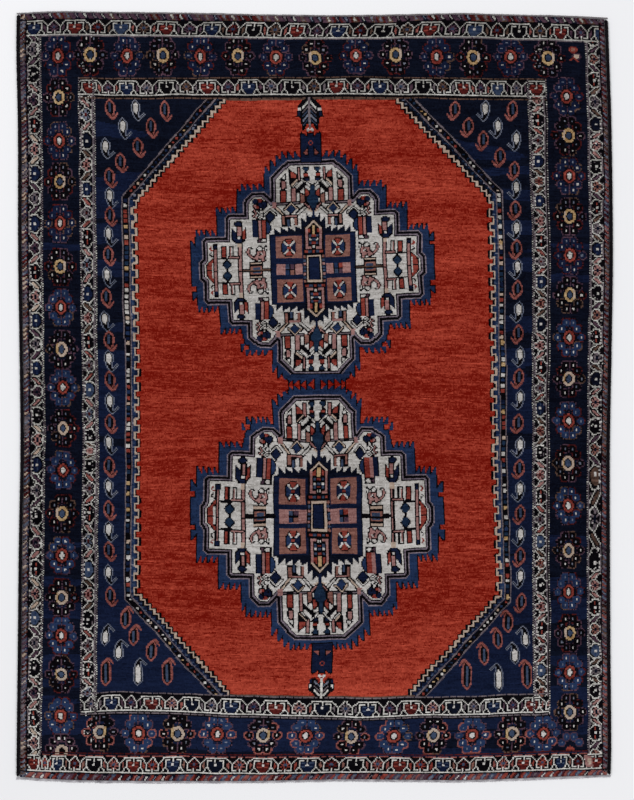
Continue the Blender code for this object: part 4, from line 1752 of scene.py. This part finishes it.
bindings = [binding("bound_side_left", 0, -1, 51), binding("bound_side_right", 1, 1, 52)]
for piece, node in zip(bindings, ("binding_left", "binding_right")):
    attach(piece, "root")
    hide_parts(node)
    print(piece.name, len(piece.data.polygons), "faces")

# %% [markdown]
# ## The web ends
#
# At each end a few millimetres of plain weave hold the knots in: cotton warps with wefts beaten
# close over and under them. Here they are worn down to a ragged edge, where the cut warp ends
# stand out. The near web is broader and paler; at the far end only a thin grey line is left.

# %% Woven cotton
def cotton_material(name, deep, light):
    material, nodes, links = new_material(name)
    shader = nodes["Principled BSDF"]
    threads = noise(nodes, links, 800.0, 3.0)
    stains = noise(nodes, links, 55.0, 3.0, stretch=(1.0, 2.5, 1.0))
    share = math_node(nodes, links, "MULTIPLY_ADD", threads, 0.5, -0.1)
    stain = math_node(nodes, links, "MULTIPLY_ADD", stains, 1.6, -0.45)
    share = math_node(nodes, links, "ADD", share, stain)
    share.node.use_clamp = True
    links.new(mixed(nodes, links, share, linear(deep), linear(light)), shader.inputs["Base Color"])
    shader.inputs["Roughness"].default_value = 0.88
    shader.inputs["Specular IOR Level"].default_value = 0.2
    links.new(bump(nodes, links, threads, 0.5, 0.0005), shader.inputs["Normal"])
    return material


near_cotton = cotton_material("woven_ends_near", (104, 98, 106), (216, 214, 218))
far_cotton = cotton_material("woven_ends_far", (58, 50, 56), (158, 152, 154))

# %% A web, and the warp ends that stand out of it
WARP_SIDES = 5
WARP_RADIUS = 0.0006
WARP_RINGS = ((0, 1.0), (0.55, 0.9), (1, 0.35))


def web(name, along, outward, width, material, seed):
    """The woven strip, and a cut warp end for every knot of the rug's width."""
    dice = np.random.default_rng(seed)
    stations, depth = 2 * COLUMNS, 7
    share = np.linspace(0, 1, stations + 1)
    edge_x, edge_y = on_rug(share, np.full(stations + 1, float(along)))
    edge_x = edge_x + (BINDING_WIDTH + GAP) * (2 * share - 1)
    slow = np.interp(share, np.linspace(0, 1, 60), dice.normal(0.72, 0.10, 60))
    ragged = np.clip(slow + dice.normal(0, 0.05, stations + 1), 0.45, 0.95) * width
    steps_out = np.linspace(0, 1, depth + 1)
    x = np.repeat(edge_x[:, None], depth + 1, 1)
    y = edge_y[:, None] + outward * (GAP + ragged[:, None] * steps_out)
    weave = np.where((np.arange(stations + 1)[:, None] + np.arange(depth + 1)) % 2, 1.0, -1.0)
    z = 0.0013 + 0.0004 * weave - 0.0003 * steps_out
    z[:, 0] += 0.0004
    if outward > 0:
        x, y, z = x[::-1], y[::-1], z[::-1]
    piece = grid_piece(name, np.stack([x, y, z], -1), material)
    ends, faces = [], []
    for k in range(0, stations, 2):
        length = dice.uniform(0.15, 1.0) * (width - ragged[k]) + 0.0004
        base = edge_y[k] + outward * (GAP + ragged[k] - WARP_RADIUS)
        lean = dice.normal(0, 0.0007)
        first = len(ends)
        for out, thick in WARP_RINGS:
            for a in range(WARP_SIDES):
                turn = a * 2 * math.pi / WARP_SIDES
                ends.append((
                    edge_x[k] + lean * out + math.cos(turn) * WARP_RADIUS * thick,
                    base + outward * (WARP_RADIUS + length) * out,
                    0.0010 + math.sin(turn) * WARP_RADIUS * thick,
                ))
        for ring in (first, first + WARP_SIDES):
            for a in range(WARP_SIDES):
                b = (a + 1) % WARP_SIDES
                faces.append((ring + a, ring + b, ring + WARP_SIDES + b, ring + WARP_SIDES + a))
    mesh = bpy.data.meshes.new(name + "_warps")
    mesh.from_pydata(ends, [], faces)
    mesh.materials.append(material)
    warps = bpy.data.objects.new(name + "_warps", mesh)
    bpy.context.scene.collection.objects.link(warps)
    return piece, warps


# %% The two webs
for name, node, along, outward, width, material, seed in (
    ("web_near", "end_web_near", 0, -1, 0.0078, near_cotton, 61),
    ("web_far", "end_web_far", 1, 1, 0.0048, far_cotton, 62),
):
    for piece in web(name, along, outward, width, material, seed):
        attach(piece, "root")
        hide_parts(node)
        print(piece.name, len(piece.data.polygons), "faces")

# %% [markdown]
# ## Floor, light and camera
#
# The photograph is a flat view from straight above on a pale ground, without shadows to speak
# of. A long lens high above gives the same view, and large soft lights keep the pile's relief
# just visible.

# %% A pale floor
FLOOR_HALF = 40.0
floor_corners = [(x * FLOOR_HALF, y * FLOOR_HALF, 0) for x, y in ((-1, -1), (1, -1), (1, 1), (-1, 1))]
floor_mesh = bpy.data.meshes.new("studio_floor")
floor_mesh.from_pydata(floor_corners, [], [(0, 1, 2, 3)])
floor = bpy.data.objects.new("studio_floor", floor_mesh)
bpy.context.scene.collection.objects.link(floor)
floor_material, nodes, links = new_material("studio_floor")
shader = nodes["Principled BSDF"]
shader.inputs["Base Color"].default_value = linear((238, 238, 240))
shader.inputs["Roughness"].default_value = 0.9
shader.inputs["Specular IOR Level"].default_value = 0.0
floor_mesh.materials.append(floor_material)

# %% Soft studio light
world = bpy.data.worlds.new("studio")
bpy.context.scene.world = world
world.use_nodes = True
sky = world.node_tree.nodes["Background"]
sky.inputs["Color"].default_value = (0.98, 0.985, 1.0, 1.0)
sky.inputs["Strength"].default_value = 0.56


def soft_light(name, place, aim, size, watts):
    light = bpy.data.lights.new(name, "AREA")
    light.shape = "DISK"
    light.size = size
    light.energy = watts
    lamp_object = bpy.data.objects.new(name, light)
    bpy.context.scene.collection.objects.link(lamp_object)
    lamp_object.location = place
    direction = np.array(aim, float) - np.array(place, float)
    pitch = math.atan2(math.hypot(direction[0], direction[1]), -direction[2])
    turn = math.atan2(direction[1], direction[0]) - math.pi / 2
    lamp_object.rotation_euler = (pitch, 0, turn)
    return lamp_object


soft_light("key", (-3.2, 4.2, 6.0), (0, 0, 0), 3.0, 250)
soft_light("fill", (3.6, -3.4, 6.0), (0, 0, 0), 3.6, 150)

# %% The camera, straight above
METRES_PER_PIXEL = 0.00275
PHOTO_WIDE, PHOTO_HIGH = 634, 800
RUG_MIDDLE_PIXEL = (314.6, 397.5)
CAMERA_HEIGHT = 9.0
SENSOR_HEIGHT = 24.0
camera_data = bpy.data.cameras.new("photo_view")
camera = bpy.data.objects.new("photo_view", camera_data)
bpy.context.scene.collection.objects.link(camera)
camera.location = (
    (PHOTO_WIDE / 2 - RUG_MIDDLE_PIXEL[0]) * METRES_PER_PIXEL,
    (RUG_MIDDLE_PIXEL[1] - PHOTO_HIGH / 2) * METRES_PER_PIXEL,
    CAMERA_HEIGHT,
)
camera_data.sensor_fit = "VERTICAL"
camera_data.sensor_height = SENSOR_HEIGHT
camera_data.lens = SENSOR_HEIGHT * CAMERA_HEIGHT / (PHOTO_HIGH * METRES_PER_PIXEL)
bpy.context.scene.camera = camera
bpy.context.scene.view_settings.view_transform = "Standard"
